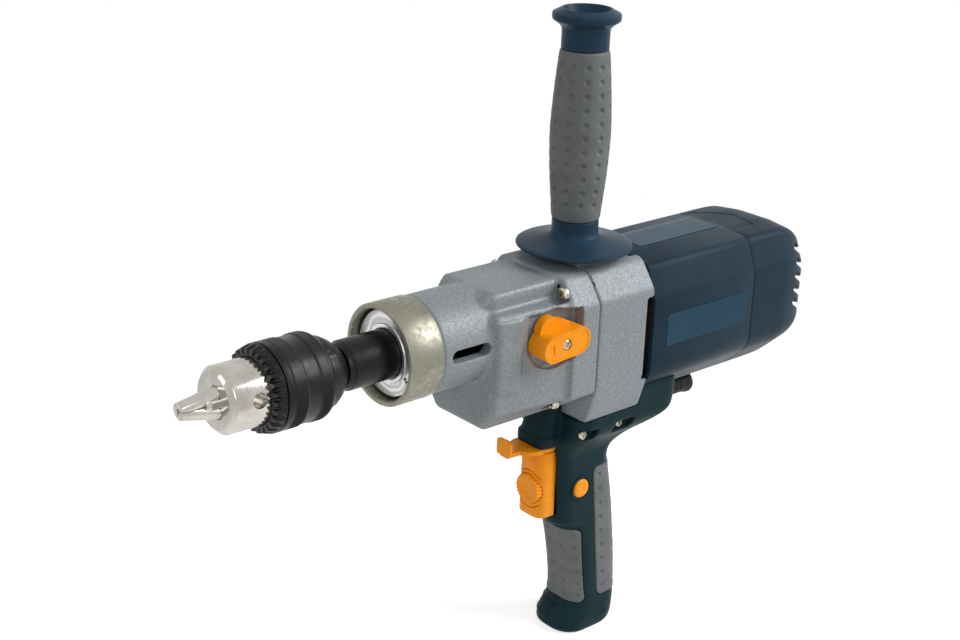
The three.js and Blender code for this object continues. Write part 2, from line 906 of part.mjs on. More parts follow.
function gearboxFront() {
  const frontX = boxFrontX + boxChamfer;
  const nose = disc(collarLength + gap, flangeX, noseRadius, "x", roundSteps);
  const spigot = disc(
    retainerX + retainerThickness + gap,
    flangeX,
    collarRadius - collarWall - gap,
    "x",
    roundSteps,
  );
  const body = loft([
    { at: boxFrontX, outline: boxOutline(boxFrontX, boxChamfer) },
    { at: frontX, outline: boxOutline(frontX, 0) },
    { at: flangeX + overrun, outline: boxOutline(flangeX + overrun, 0) },
  ]);
  const ridge = loft([
    { at: boxFrontX, outline: ridgeOutline(0, boxChamfer) },
    { at: frontX + boxChamfer, outline: ridgeOutline(0) },
    { at: flangeX + overrun, outline: ridgeOutline(0) },
  ]);
  const flange = prism(flangeOutline(0), flangeX, partingX - gap / 2);
  const pillar = moved(
    disc(pillarBottomZ, pillarTopZ, pillarRadius, "z"),
    pillarX,
    -boxHalfAt(pillarX) + pillarRadius - pillarProud,
    0,
  );
  const outside = join(nose, spigot, body, ridge, flange, pillar);

  const wallX = boxFrontX + boxChamfer + castWall;
  const room = loft([
    { at: wallX, outline: boxOutline(wallX, castWall) },
    { at: flangeX, outline: boxOutline(flangeX, castWall) },
  ]);
  const ridgeRoom = prism(ridgeOutline(castWall), wallX, flangeX);
  const gearRoom = disc(
    highGearX - gap,
    partingX,
    (mainModule * (lowTeeth + 2)) / 2 + 2 * gap,
    "x",
    roundSteps,
  );
  const mouth = prism(flangeOutline(castWall), flangeX - gap, partingX + overrun);
  const bearingBore = disc(
    -overrun,
    bearingFrontX + bearingFrontLength + gap,
    bearingFrontRadius + gap,
    "x",
    roundSteps,
  );
  const noseBore = disc(
    bearingFrontX + bearingFrontLength + overrun,
    wallX + overrun,
    noseBoreRadius - overrun,
    "x",
    roundSteps,
  );
  const spindleBore = disc(0, wallX + overrun, spindleGearSeatRadius + 2 * overrun);
  const slot = prism(
    rounded([
      [-slotWidth / 2, slotX - slotLength / 2, slotWidth / 2],
      [slotWidth / 2, slotX - slotLength / 2, slotWidth / 2],
      [slotWidth / 2, slotX + slotLength / 2, slotWidth / 2],
      [-slotWidth / 2, slotX + slotLength / 2, slotWidth / 2],
    ]),
    -noseRadius - overrun,
    -noseBoreRadius + 2 * overrun,
    "y",
  );
  const counterSeat = moved(
    disc(
      counterBearingFrontX - gap,
      wallX + overrun,
      countershaftBearingRadius + gap,
    ),
    0,
    counterY,
    counterZ,
  );
  const screwCuts = screwPlaces.flatMap(([y, z]) => [
    moved(disc(flangeX - screwPocketLength, flangeX, screwPocketRadius), 0, y, z),
    moved(disc(flangeX - overrun, partingX + overrun, screwShankRadius + gap), 0, y, z),
  ]);
  const posts = screwPlaces.map(([y, z]) =>
    moved(disc(flangeX, partingX - gap / 2, screwPocketRadius), 0, y, z).intersect(
      prism(flangeOutline(gap), flangeX, partingX),
    ),
  );
  const pocketBack = moved(
    disc(
      -caseHalf,
      selectorPocketY + castWall - gap,
      selectorPocketRadius + castWall,
      "y",
      roundSteps,
    ),
    selectorX,
    0,
    selectorZ,
  ).intersect(block([frontX, flangeX], [-boxHalfAt(frontX), 0], [boxSideZ, boxLedgeZ - gap]));
  const hollow = cut(outside, room, ridgeRoom, gearRoom, mouth, bearingBore, noseBore, spindleBore);
  return cut(join(hollow, ...posts, pocketBack), slot, counterSeat, ...screwCuts, ...selectorPocket());
}

function gearboxScrew([y, z]) {
  const headX = flangeX - gap;
  const body = turned(
    [
      [headX - screwHeadHeight, 0],
      [headX - screwHeadHeight, screwHeadRadius - screwHeadHeight / 2],
      [headX - screwHeadHeight / 2, screwHeadRadius],
      [headX, screwHeadRadius],
      [headX, screwShankRadius],
      [headX + screwLength, screwShankRadius],
      [headX + screwLength, 0],
    ],
    "x",
    smallSteps,
  );
  const arm = screwShankRadius;
  const thin = screwHeadHeight / 6;
  const depth = [headX - screwHeadHeight - overrun, headX - screwHeadHeight / 2];
  const cross = [block(depth, [-arm, arm], [-thin, thin]), block(depth, [-thin, thin], [-arm, arm])];
  return moved(cut(body, ...cross), 0, y, z);
}

function gearboxRear() {
  const shell = prism(caseOutline(0), partingX + gap / 2, caseRearX);
  const plug = prism(flangeOutline(castWall + gap), webFrontX, partingX + castWall);
  const behindParting = block(
    [partingX + gap / 2, caseRearX],
    [-caseHalf, caseHalf],
    [0, handleBossTopZ + overrun],
  );
  const bossRound = moved(disc(0, handleBossTopZ, handleBossRadius, "z", roundSteps), handleX, 0, 0);
  const boss = bossRound.intersect(behindParting);
  const counterBoss = moved(
    disc(counterBearingRearX - gap, webRearX, countershaftBearingRadius + castWall),
    0,
    counterY,
    counterZ,
  );
  const bearingBoss = disc(bearingRearX, webRearX, bearingRearRadius + castWall / 2, "x", roundSteps);
  const outside = join(shell, plug, boss, bearingBoss);
  const fanRoom = cut(
    prism(caseOutline(castWall), webRearX, caseRearX + overrun),
    bossRound.intersect(
      block(
        [webRearX - overrun, caseRearX],
        [-caseHalf, caseHalf],
        [caseTopZ - 2 * castWall, handleBossTopZ],
      ),
    ),
  );
  const spindleSeat = disc(
    bearingRearX - gap,
    bearingRearX + bearingRearLength + gap,
    bearingRearRadius + gap,
    "x",
    innerSteps,
  );
  const counterSeat = moved(
    disc(webFrontX - overrun, countershaftRearX, countershaftBearingRadius + gap),
    0,
    counterY,
    counterZ,
  );
  const armatureSeat = moved(
    disc(
      motorBearingFrontX - gap,
      webRearX + overrun,
      motorBearingRadius + gap,
      "x",
      innerSteps,
    ),
    0,
    0,
    armatureZ,
  );
  const armatureBore = moved(disc(webFrontX - 3 * overrun, webRearX, armatureBoreRadius), 0, 0, armatureZ);
  const studHole = moved(
    disc(studBottomZ - gap, handleBossTopZ + overrun, studRadius + gap, "z"),
    handleX,
    0,
    0,
  );
  const screwHoles = screwPlaces.map(([y, z]) =>
    moved(disc(webFrontX - overrun, flangeX + screwLength + overrun, screwShankRadius + gap), 0, y, z),
  );
  const postClear = screwPlaces.map(([y, z]) =>
    moved(disc(webFrontX - overrun, partingX + gap / 2, screwPocketRadius + gap), 0, y, z),
  );
  const slotFromX = caseRearX - airSlotLength;
  const airSlots = [
    block(
      [slotFromX, caseRearX + overrun],
      [-caseHalf - overrun, caseHalf + overrun],
      [airSlotBottomZ, airSlotTopZ],
    ),
    block(
      [slotFromX, caseRearX + overrun],
      [-airSlotTopHalf, airSlotTopHalf],
      [0, handleBossTopZ + overrun],
    ),
  ];
  return cut(
    outside,
    fanRoom,
    spindleSeat,
    counterSeat,
    armatureSeat,
    armatureBore,
    studHole,
    ...screwHoles,
    ...postClear,
    ...airSlots,
  );
}

// Selector

function selectorKnob() {
  const baseRearY = selectorPocketY - gap;
  const baseFrontY = baseRearY - selectorBaseHeight;
  const base = disc(baseFrontY, baseRearY, selectorBaseRadius, "y", roundSteps);
  const half = selectorBarLength / 2;
  const edge = selectorBarWidth / 2;
  const bar = prism(
    rounded(
      [
        [-edge, -half, edge],
        [edge, -half, edge],
        [edge, half, edge],
        [-edge, half, edge],
      ],
      2 * cornerSteps,
    ),
    selectorFaceY,
    baseFrontY + overrun,
    "y",
  );
  const scallops = [1, -1].map((side) =>
    moved(
      disc(baseFrontY - overrun, baseRearY + overrun, edge / 2, "y"),
      side * (selectorBaseRadius + edge / 8),
      0,
      selectorBaseRadius / 2,
    ),
  );
  const knob = cut(
    join(base, bar.rotate([0, -THREE.MathUtils.radToDeg(selectorTilt), 0])),
    ...scallops,
    disc(selectorFaceY - overrun, selectorFaceY + knobScrewDepth + gap, knobScrewRadius + gap, "y"),
    disc(selectorFaceY, baseRearY + overrun, knobScrewRadius / 2 + gap, "y"),
  );
  return moved(knob, selectorX, 0, selectorZ);
}

function selectorShaft() {
  const topY = selectorPocketY - gap / 3;
  const rod = disc(topY, selectorShaftEndY, selectorShaftRadius, "y");
  const pin = moved(
    disc(selectorShaftEndY - overrun, selectorPinEndY, selectorPinRadius, "y"),
    selectorPinOffset,
    0,
    0,
  );
  return moved(join(rod, pin), selectorX, 0, selectorZ);
}

function knobScrew() {
  const head = disc(selectorFaceY + gap, selectorFaceY + knobScrewDepth, knobScrewRadius, "y");
  const slotHalf = knobScrewRadius / 6;
  const slot = block(
    [-knobScrewRadius - overrun, knobScrewRadius + overrun],
    [selectorFaceY - overrun, selectorFaceY + 3 * slotHalf],
    [-slotHalf, slotHalf],
  );
  return moved(cut(head, slot), selectorX, 0, selectorZ);
}

const forkX = clutchLowX + clutchWidth / 2;
const pinRestX = selectorX + selectorPinOffset;

function selectorFork() {
  const halfThick = forkThickness / 2;
  const hoop = ring(-halfThick, halfThick, clutchGrooveRadius + gap, forkRadius);
  const past = forkRadius + overrun;
  const open = block([-halfThick - overrun, halfThick + overrun], [0, past], [-past, past]);
  const armHalf = forkRadius / 4;
  const arm = block(
    [-halfThick, halfThick],
    [forkPlateY, -clutchRadius - gap],
    [selectorZ - armHalf, selectorZ + armHalf],
  );
  const slotHalf = selectorPinRadius + selectorPinSlack;
  const plateEnd = pinRestX - forkX + 2 * slotHalf;
  const reach = selectorPinOffset + 2 * selectorPinRadius;
  const plate = block(
    [-halfThick, plateEnd],
    [forkPlateY, selectorPinEndY],
    [selectorZ - reach - armHalf / 2, selectorZ + armHalf],
  );
  const slot = block(
    [pinRestX - forkX - slotHalf, pinRestX - forkX + slotHalf],
    [forkPlateY - overrun, selectorPinEndY + overrun],
    [selectorZ - reach, selectorZ + reach / 4],
  );
  return moved(cut(join(cut(hoop, open), arm, plate), slot), forkX, 0, 0);
}

// Motor

function housingOutline(inset) {
  const less = (radius) => Math.max(radius - inset, gap);
  return rounded(
    mirrored([
      [housingBottomHalf - inset / 2, housingBottomZ + inset, less(housingLowCorner)],
      [housingHalf - inset, housingSideZ + inset / 3, less(housingLowCorner)],
      [housingHalf - inset, housingShoulderZ - inset / 3, less(housingSideCorner)],
      [housingTopHalf - inset / 2, housingTopZ - inset, less(housingTopCorner)],
      [housingCrownHalf, housingCrownZ - inset, less(housingCrownCorner)],
    ]),
  );
}

function motorHousing() {
  const shell = cut(
    prism(housingOutline(0), housingFrontX, housingRearX - gap / 2),
    prism(housingOutline(plasticWall), housingFrontX - overrun, housingRearX - spiderThickness),
  );
  const bossEndX = rearBearingX + motorBearingLength;
  const boss = moved(
    disc(housingRearX - spiderThickness, bossEndX, rearBearingRadius + plasticWall),
    0,
    0,
    armatureZ,
  );
  const seat = moved(
    disc(rearBearingX - gap, bossEndX + overrun, rearBearingRadius + gap, "x", innerSteps),
    0,
    0,
    armatureZ,
  );
  const through = moved(
    disc(housingRearX - 2 * spiderThickness, bossEndX, shaftRadius + runGap),
    0,
    0,
    armatureZ,
  );
  const windows = [0, 1, 2, 3].map((k) => {
    const hole = disc(housingRearX - 2 * spiderThickness, housingRearX + overrun, spiderWindowRadius);
    const angle = (k + 1 / 2) * (Math.PI / 2);
    return moved(
      hole,
      0,
      spiderWindowCircle * Math.cos(angle),
      armatureZ + spiderWindowCircle * Math.sin(angle),
    );
  });
  return cut(join(shell, boss), seat, through, ...windows);
}

// Each row of the cap: shares of its length, of the housing's height above and below its widest
// line, and of the housing's half width.
const capStationShares = [
  [0, 1, 1, 1],
  [0.4, 1, 0.995, 0.995],
  [0.57, 0.97, 0.97, 0.96],
  [0.7, 0.9, 0.925, 0.9],
  [0.81, 0.8, 0.845, 0.81],
  [0.89, 0.67, 0.735, 0.69],
  [0.95, 0.5, 0.58, 0.54],
  [0.985, 0.3, 0.42, 0.37],
  [1, 0.1, 0.22, 0.19],
];

function rearCap() {
  const startX = housingRearX + gap / 2;
  const inner = capStationShares.filter((_, i) => i % 2 === 0);
  const skin = (shares, inset, fromX, endX) =>
    loft(
      shares.map(([along, above, below, wide]) => ({
        at: fromX + along * (endX - fromX),
        outline: housingOutline(inset).map(([y, z]) => {
          const rise = z - capMiddleZ;
          return [y * wide, capMiddleZ + rise * (rise > 0 ? above : below)];
        }),
      })),
    );
  const shell = cut(
    skin(capStationShares, 0, startX, capRearX),
    skin(inner, plasticWall, startX, capRearX - plasticWall),
    prism(housingOutline(plasticWall), startX - overrun, startX + overrun),
  );
  const vents = Array.from({ length: ventCount }, (_, k) => {
    const z = ventTopZ - k * ventPitch;
    return [-1, 1].map((side) => {
      const ys = [side * ventInnerHalf, side * (housingHalf + overrun)].sort((a, b) => a - b);
      return block([ventX, capRearX + overrun], ys, [z - ventHeight / 2, z + ventHeight / 2]);
    });
  }).flat();
  return cut(shell, ...vents);
}

function armatureShaft() {
  const pinionX = firstGearX - gap;
  const pinion = gear(armatureTeeth, firstModule, pinionX, pinionWidth, 0, facing(armatureToCounter));
  const rod = disc(firstGearX + firstGearWidth + 2 * gap, shaftRearX, shaftRadius);
  return moved(join(pinion, rod), 0, 0, armatureZ);
}

function armatureCore() {
  const core = ring(coreFrontX, coreRearX, shaftRadius + gap, coreRadius);
  const slots = Array.from({ length: coreSlots }, (_, k) =>
    spunX(
      block(
        [coreFrontX - overrun, coreRearX + overrun],
        [-coreSlotWidth / 2, coreSlotWidth / 2],
        [coreRadius - coreSlotDepth, coreRadius + overrun],
      ),
      (k * 2 * Math.PI) / coreSlots,
    ),
  );
  return moved(cut(core, ...slots), 0, 0, armatureZ);
}

// The two end turns and the wires between them, which lie in the slots of the core.
function armatureWinding() {
  const lean = windingLength / 3;
  const head = (x0, x1) =>
    turned(
      [
        [x0, shaftRadius + gap],
        [x0, windingRadius - lean],
        [x0 + lean, windingRadius],
        [x1 - lean, windingRadius],
        [x1, windingRadius - lean],
        [x1, shaftRadius + gap],
      ],
      "x",
      innerSteps,
    );
  const front = coreFrontX - gap;
  const rear = coreRearX + gap;
  const wires = Array.from({ length: coreSlots }, (_, k) =>
    spunX(
      block(
        [front - lean, rear + lean],
        [gap - coreSlotWidth / 2, coreSlotWidth / 2 - gap],
        [coreRadius - coreSlotDepth + gap, coreRadius - gap],
      ),
      (k * 2 * Math.PI) / coreSlots,
    ),
  );
  return moved(
    join(head(front - windingLength, front), head(rear, rear + windingLength), ...wires),
    0,
    0,
    armatureZ,
  );
}

function commutator() {
  const riserX = commutatorX + commutatorRiser;
  return moved(
    turned([
      [commutatorX, shaftRadius + gap],
      [commutatorX, commutatorRadius + commutatorRiser / 3],
      [riserX, commutatorRadius + commutatorRiser / 3],
      [riserX, commutatorRadius],
      [commutatorX + commutatorLength, commutatorRadius],
      [commutatorX + commutatorLength, shaftRadius + gap],
    ]),
    0,
    0,
    armatureZ,
  );
}

function coolingFan() {
  const hub = ring(fanX, fanX + fanLength, shaftRadius + gap, 2 * shaftRadius, "x", smallSteps);
  const plate = ring(fanX + fanLength - fanPlate, fanX + fanLength, shaftRadius + gap, fanRadius);
  const blades = Array.from({ length: fanBlades }, (_, k) =>
    spunX(
      block(
        [fanX, fanX + fanLength - fanPlate / 2],
        [-fanBladeWidth / 2, fanBladeWidth / 2],
        [1.5 * shaftRadius, fanRadius - fanPlate / 2],
      ),
      (k * 2 * Math.PI) / fanBlades,
    ),
  );
  return moved(join(hub, plate, ...blades), 0, 0, armatureZ);
}

function coilFrame(grow) {
  const [x0, x1] = [coreFrontX - coilOverhang - grow, coreRearX + coilOverhang + grow];
  const outer = coilHalf + grow;
  const inner = coilHalf - coilWall - grow;
  const heights = [armatureZ + coilOffset - grow, armatureZ + coilOffset + coilHeight + grow];
  const end = coilWall + 2 * grow;
  return cut(
    block([x0, x1], [-outer, outer], heights),
    block([x0 + end, x1 - end], [-inner, inner], [heights[0] - overrun, heights[1] + overrun]),
  );
}

const mirrorLow = (solid) =>
  moved(moved(solid, 0, 0, -armatureZ).mirror([0, 0, 1]), 0, 0, armatureZ);
const fieldCoilUpper = () => coilFrame(0);
const fieldCoilLower = () => mirrorLow(coilFrame(0));

function fieldStator() {
  const body = moved(ring(coreFrontX, coreRearX, coreRadius + airGap, statorRadius), 0, 0, armatureZ);
  const room = coilFrame(gap);
  return cut(body, room, mirrorLow(room));
}

function motorBearing(x, outer) {
  return moved(bearing(x, motorBearingLength - gap, shaftRadius + gap, outer), 0, 0, armatureZ);
}

function brushParts(side) {
  const face = commutatorRadius + gap;
  const x1 = housingRearX - spiderThickness - gap;
  const x0 = x1 - brushWidth - 2 * brushHolderWall;
  const span = (a, b) => [side * a, side * b].sort((p, q) => p - q);
  const halfHigh = brushThickness / 2;
  const brushX = [x0 + brushHolderWall, x1 - brushHolderWall];
  const brush = block(brushX, span(face, face + brushLength), [armatureZ - halfHigh, armatureZ + halfHigh]);
  const holder = cut(
    block(
      [x0, x1],
      span(face + brushHolderWall, face + brushHolderWall + brushHolderLength),
      [armatureZ - halfHigh - brushHolderWall, armatureZ + halfHigh + brushHolderWall],
    ),
    block(
      [brushX[0] - gap, brushX[1] + gap],
      span(0, face + brushLength + gap),
      [armatureZ - halfHigh - gap, armatureZ + halfHigh + gap],
    ),
  );
  return { brush, holder };
}

// Side handle

function handleCore() {
  const neckTop = rubberHighZ + gap;
  const body = turned(
    [
      [discRimZ, studRadius + gap],
      [discRimZ, discRadius - discRim / 2],
      [discRimZ + discRim / 2, discRadius],
      [discRimZ + discRim, discRadius - discRim / 2],
      [(discRimZ + discRim + discNeckZ) / 2, (discRadius + handleNeckRadius) / 2 - discRim],
      [discNeckZ, handleNeckRadius],
      [rubberLowZ - gap, handleNeckRadius],
      [rubberLowZ - gap, rubberCoreRadius],
      [neckTop, rubberCoreRadius],
      [neckTop, handleNeckRadius],
      [flangeZ, handleNeckRadius],
      [flangeRimZ, flangeRadius],
      [flangeRimZ + flangeRim, flangeRadius],
      [handleTopZ, handleMouthRadius + flangeRim / 4],
      [handleTopZ, handleMouthRadius - flangeRim / 4],
      [handleTopZ - flangeRim, handleMouthRadius - flangeRim],
      [handleTopZ - 2 * flangeRim, handleHollowRadius],
      [handleTopZ - handleHollowDepth, handleHollowRadius],
      [handleTopZ - handleHollowDepth, 0],
      [studTopZ + gap, 0],
      [studTopZ + gap, studRadius + gap],
    ],
    "z",
  );
  return moved(body, handleX, 0, 0);
}

function handleRubber() {
  const heightShares = [0, 0.1, 0.24, 0.38, 0.53, 0.68, 0.8, 0.9, 1];
  const swellShares = [0, 0.25, 0.63, 0.88, 1, 0.8, 0.55, 0.3, 0];
  const outside = heightShares.map((share, i) => [
    rubberLowZ + share * (rubberHighZ - rubberLowZ),
    rubberEndRadius + swellShares[i] * (rubberMiddleRadius - rubberEndRadius),
  ]);
  const inner = rubberCoreRadius + gap;
  return moved(turned([[rubberLowZ, inner], ...outside, [rubberHighZ, inner]], "z"), handleX, 0, 0);
}

const handleStud = () => moved(disc(studBottomZ, studTopZ, studRadius, "z"), handleX, 0, 0);

// Pistol grip

const gripHeight = gripTopZ - gripFootZ;
const gripSpan = gripNeckRearX - gripNeckFrontX;

// Each row: share of the way down, front and back as shares of the neck's depth from its front face,
// half width and corner as shares of the neck's own.
const gripStationShares = [
  [0, 0.094, 1.82, 1.824, 0.83],
  [0.095, 0.094, 1.8, 1.824, 0.83],
  [0.136, 0.094, 1.74, 1.8, 0.83],
  [0.166, 0.063, 1.58, 1.63, 1],
  [0.201, 0.03, 1.3, 1.29, 1.04],
  [0.243, 0, 1.085, 1.035, 1],
  [0.284, 0.01, 0.995, 1, 1],
  [0.343, 0.02, 1.01, 1, 1],
  [0.45, 0.05, 1.085, 1, 1],
  [0.521, 0.1, 1.128, 1, 1],
  [0.556, 0.28, 1.15, 1, 1.04],
  [0.692, 0.4, 1.217, 1, 1.04],
  [0.822, 0.465, 1.257, 1, 1.04],
  [0.893, 0.45, 1.272, 1.02, 1.04],
  [0.935, 0.33, 1.276, 1.06, 1.2],
  [0.964, 0.28, 1.27, 1.08, 1.3],
  [0.985, 0.28, 1.235, 1.06, 1.25],
  [1, 0.34, 1.16, 0.97, 1.1],
];

function gripSkin(grow) {
  return loft(
    [...gripStationShares].reverse().map(([down, front, back, wide, corner]) => {
      const x0 = gripNeckFrontX + front * gripSpan - grow;
      const x1 = gripNeckFrontX + back * gripSpan + grow;
      const half = wide * gripHalf + grow;
      const radius = corner * gripCorner + grow;
      return {
        at: gripTopZ - down * gripHeight,
        outline: rounded([
          [x0, -half, radius],
          [x1, -half, radius],
          [x1, half, radius],
          [x0, half, radius],
        ]),
      };
    }),
    "z",
  );
}

// A visor over the reverse lever, and the narrower neck that carries it.
function hood() {
  const plan = (frontX, half) =>
    rounded([
      [frontX, -half, hoodCorner],
      [switchFrontX, -half, gap],
      [switchFrontX, half, gap],
      [frontX, half, hoodCorner],
    ]);
  return loft(
    [
      { at: hoodBottomZ, outline: plan(hoodFrontX, hoodHalf) },
      { at: hoodTopZ, outline: plan(hoodFrontX, hoodHalf) },
      { at: hoodTopZ + gap, outline: plan(hoodNeckX, hoodNeckHalf) },
      { at: gripTopZ, outline: plan(hoodNeckX - hoodCorner / 2, hoodNeckHalf) },
    ],
    "z",
  );
}

// The two pads, seen from the side, as prisms across the grip.
function padRegion(corners) {
  const outline = rounded(corners.map(([x, z]) => [z, x, padCorner]));
  return prism(outline, -saddleHalf, saddleHalf, "y");
}

const frontPadRegion = (grow) =>
  padRegion(
    [
      [hoodFrontX, padFrontTopZ + grow],
      [padFrontTopX + grow, padFrontTopZ + grow],
      [padFrontBottomX + grow, padFrontBottomZ - grow],
      [hoodFrontX, padFrontBottomZ - grow],
    ],
  );

const rearPadRegion = (grow) =>
  padRegion(
    [
      [padRearTopX - grow, padRearTopZ + grow],
      [saddleRearX, padRearTopZ + grow],
      [saddleRearX, padRearBottomZ - grow],
      [padRearBottomX - grow, padRearBottomZ - grow],
    ],
  );

const padFrom = (region) => cut(gripSkin(padProud), gripSkin(-padDepth)).intersect(region(0));
const padSeat = (region) => cut(gripSkin(overrun), gripSkin(-padDepth - padGap)).intersect(region(padGap));

function gripWhole() {
  const skin = join(gripSkin(0), hood());
  const overCase = prism(caseOutline(-gap), partingX - gap, caseRearX + gap);
  const overBox = prism(flangeOutline(-gap), boxFrontX, partingX);
  const overMotor = prism(housingOutline(-gap), caseRearX, housingRearX);
  const triggerRoom = block(
    [leverPaddleX, switchFrontX - gap],
    [-triggerHalf - gap, triggerHalf + gap],
    [triggerBottomZ - gap, triggerTopZ + gap],
  );
  const leverRoom = moved(
    disc(leverTopZ - leverThickness - gap, hoodBottomZ, leverRadius + gap, "z", roundSteps),
    leverX,
    0,
    0,
  );
  const leverPinRoom = moved(
    disc(hoodBottomZ - overrun, leverTopZ + leverPinLength + gap, leverPinRadius + gap, "z"),
    leverX,
    0,
    0,
  );
  const switchRoom = block(
    [switchFrontX - gap, switchRearX + gap],
    [-switchHalf - gap, switchHalf + gap],
    [switchBottomZ - gap, switchTopZ + gap],
  );
  const buttonHole = moved(
    disc(-gripHalf - overrun, -switchHalf, buttonRadius + gap, "y"),
    buttonX,
    0,
    buttonZ,
  );
  const glandSeat = moved(
    join(
      disc(glandStartX - gap, saddleRearX + overrun, glandRadius + gap),
      disc(glandStartX - gap, glandStartX + glandFlangeThickness + gap, glandFlangeRadius + gap),
    ),
    0,
    0,
    glandZ,
  );
  const screwCuts = gripScrewXs.flatMap((x) => {
    const half = gripScrewPocketWidth / 2;
    const reach = gripScrewPocketLength / 2;
    const pocket = prism(
      rounded([
        [gripScrewZ - half, x - reach, half],
        [gripScrewZ + half, x - reach, half],
        [gripScrewZ + half, x + reach, half],
        [gripScrewZ - half, x + reach, half],
      ]),
      -saddleHalf - overrun,
      gripScrewSeatY,
      "y",
    );
    const hole = disc(-saddleHalf, gripScrewEndY + gap, gripScrewRadius + gap, "y");
    return [pocket, moved(hole, x, 0, gripScrewZ)];
  });
  return cut(
    skin,
    ...screwCuts,
    overCase,
    overBox,
    overMotor,
    triggerRoom,
    leverRoom,
    leverPinRoom,
    switchRoom,
    buttonHole,
    glandSeat,
    padSeat(frontPadRegion),
    padSeat(rearPadRegion),
  );
}

function gripHalves() {
  const whole = gripWhole();
  const far = saddleRearX;
  const keep = (ys) => whole.intersect(block([-far, 2 * far], ys, [gripFootZ - overrun, far]));
  return { left: keep([-far, -halfGap]), right: keep([halfGap, far]) };
}

function trigger() {
  const body = prism(
    rounded(
      [
        [triggerFrontX, -triggerHalf, triggerCorner],
        [triggerRearX, -triggerHalf, gap],
        [triggerRearX, triggerHalf, gap],
        [triggerFrontX, triggerHalf, triggerCorner],
      ],
      2 * cornerSteps,
    ),
    triggerBottomZ,
    triggerTopZ,
    "z",
  );
  const stem = moved(
    disc(triggerRearX - overrun, triggerRearX + triggerStemLength, triggerStemRadius),
    0,
    0,
    dialZ,
  );
  const dialSeat = moved(
    disc(dialFrontX - overrun, dialFrontX + dialThickness + gap, dialRadius + gap, "x", roundSteps),
    0,
    0,
    dialZ,
  );
  return cut(join(body, stem), dialSeat);
}

function speedDial() {
  const notchShares = [0, 0.5];
  const outline = Array.from({ length: dialNotches }, (_, k) =>
    notchShares.map((share) => {
      const angle = ((k + share) * 2 * Math.PI) / dialNotches;
      const radius = dialRadius - (share > 0 ? dialNotchDepth : 0);
      return [radius * Math.cos(angle), radius * Math.sin(angle)];
    }),
  ).flat();
  const inner = outline.map(([u, v]) => [u * dialFaceShare, v * dialFaceShare]);
  return moved(
    loft([
      { at: dialFrontX, outline: inner },
      { at: dialFrontX + dialThickness / 3, outline },
      { at: dialFrontX + dialThickness, outline },
    ]),
    0,
    0,
    dialZ,
  );
}

function reverseLever() {
  const z = [leverTopZ - leverThickness, leverTopZ];
  const plate = moved(disc(z[0], z[1], leverRadius, "z", roundSteps), leverX, 0, 0);
  const arm = prism(
    rounded([
      [leverPaddleX, -leverArmHalf, gap],
      [leverX, -leverRadius * dialFaceShare, gap],
      [leverX, leverRadius * dialFaceShare, gap],
      [leverPaddleX, leverArmHalf, gap],
    ]),
    z[0],
    z[1],
    "z",
  );
  const paddle = prism(
    rounded([
      [-leverPaddleHalf, z[0] + leverThickness / 3, leverThickness / 2],
      [leverPaddleHalf, z[0] + leverThickness / 3, leverThickness / 2],
      [leverPaddleHalf, leverPaddleTopZ, leverThickness],
      [-leverPaddleHalf, leverPaddleTopZ, leverThickness],
    ]),
    leverPaddleX,
    leverPaddleX + leverPaddleThickness,
  );
  const pin = moved(disc(leverTopZ - gap, leverTopZ + leverPinLength, leverPinRadius, "z"), leverX, 0, 0);
  return join(plate, arm, paddle, pin);
}

function switchBody() {
  const body = block([switchFrontX, switchRearX], [-switchHalf, switchHalf], [switchBottomZ, switchTopZ]);
  const stemHole = moved(
    disc(
      switchFrontX - overrun,
      triggerRearX + triggerStemLength + triggerTravel + gap,
      triggerStemRadius + gap,
    ),
    0,
    0,
    dialZ,
  );
  const buttonRoom = moved(
    disc(-switchHalf - overrun, buttonFaceY + buttonDepth + buttonTravel + gap, buttonRadius + gap, "y"),
    buttonX,
    0,
    buttonZ,
  );
  return cut(body, stemHole, buttonRoom);
}

function lockButton() {
  const crown = buttonRadius / 8;
  return moved(
    turned(
      [
        [buttonFaceY, 0],
        [buttonFaceY, buttonRadius - 2 * crown],
        [buttonFaceY + crown, buttonRadius],
        [buttonFaceY + buttonDepth, buttonRadius],
        [buttonFaceY + buttonDepth, 0],
      ],
      "y",
      smallSteps,
    ),
    buttonX,
    0,
    buttonZ,
  );
}

function cordGland() {
  return moved(
    turned([
      [glandStartX, glandBore],
      [glandStartX, glandFlangeRadius],
      [glandStartX + glandFlangeThickness, glandFlangeRadius],
      [glandStartX + glandFlangeThickness, glandRadius],
      [glandEndX - glandMouthLength, glandRadius],
      [glandEndX - glandMouthLength / 3, glandMouthRadius],
      [glandEndX, glandMouthRadius],
      [glandEndX, glandBore + gap],
      [glandEndX - glandMouthLength, glandBore],
    ]),
    0,
    0,
    glandZ,
  );
}

function gripScrew(x) {
  return moved(
    turned(
      [
        [gripScrewSeatY - gap - gripScrewHead, 0],
        [gripScrewSeatY - gap - gripScrewHead, gripScrewHeadRadius - gripScrewHead / 3],
        [gripScrewSeatY - gap - gripScrewHead / 2, gripScrewHeadRadius],
        [gripScrewSeatY - gap, gripScrewHeadRadius],
        [gripScrewSeatY - gap, gripScrewRadius],
        [gripScrewEndY, gripScrewRadius],
        [gripScrewEndY, 0],
      ],
      "y",
      smallSteps,
    ),
    x,
    0,
    gripScrewZ,
  );
}

// Materials

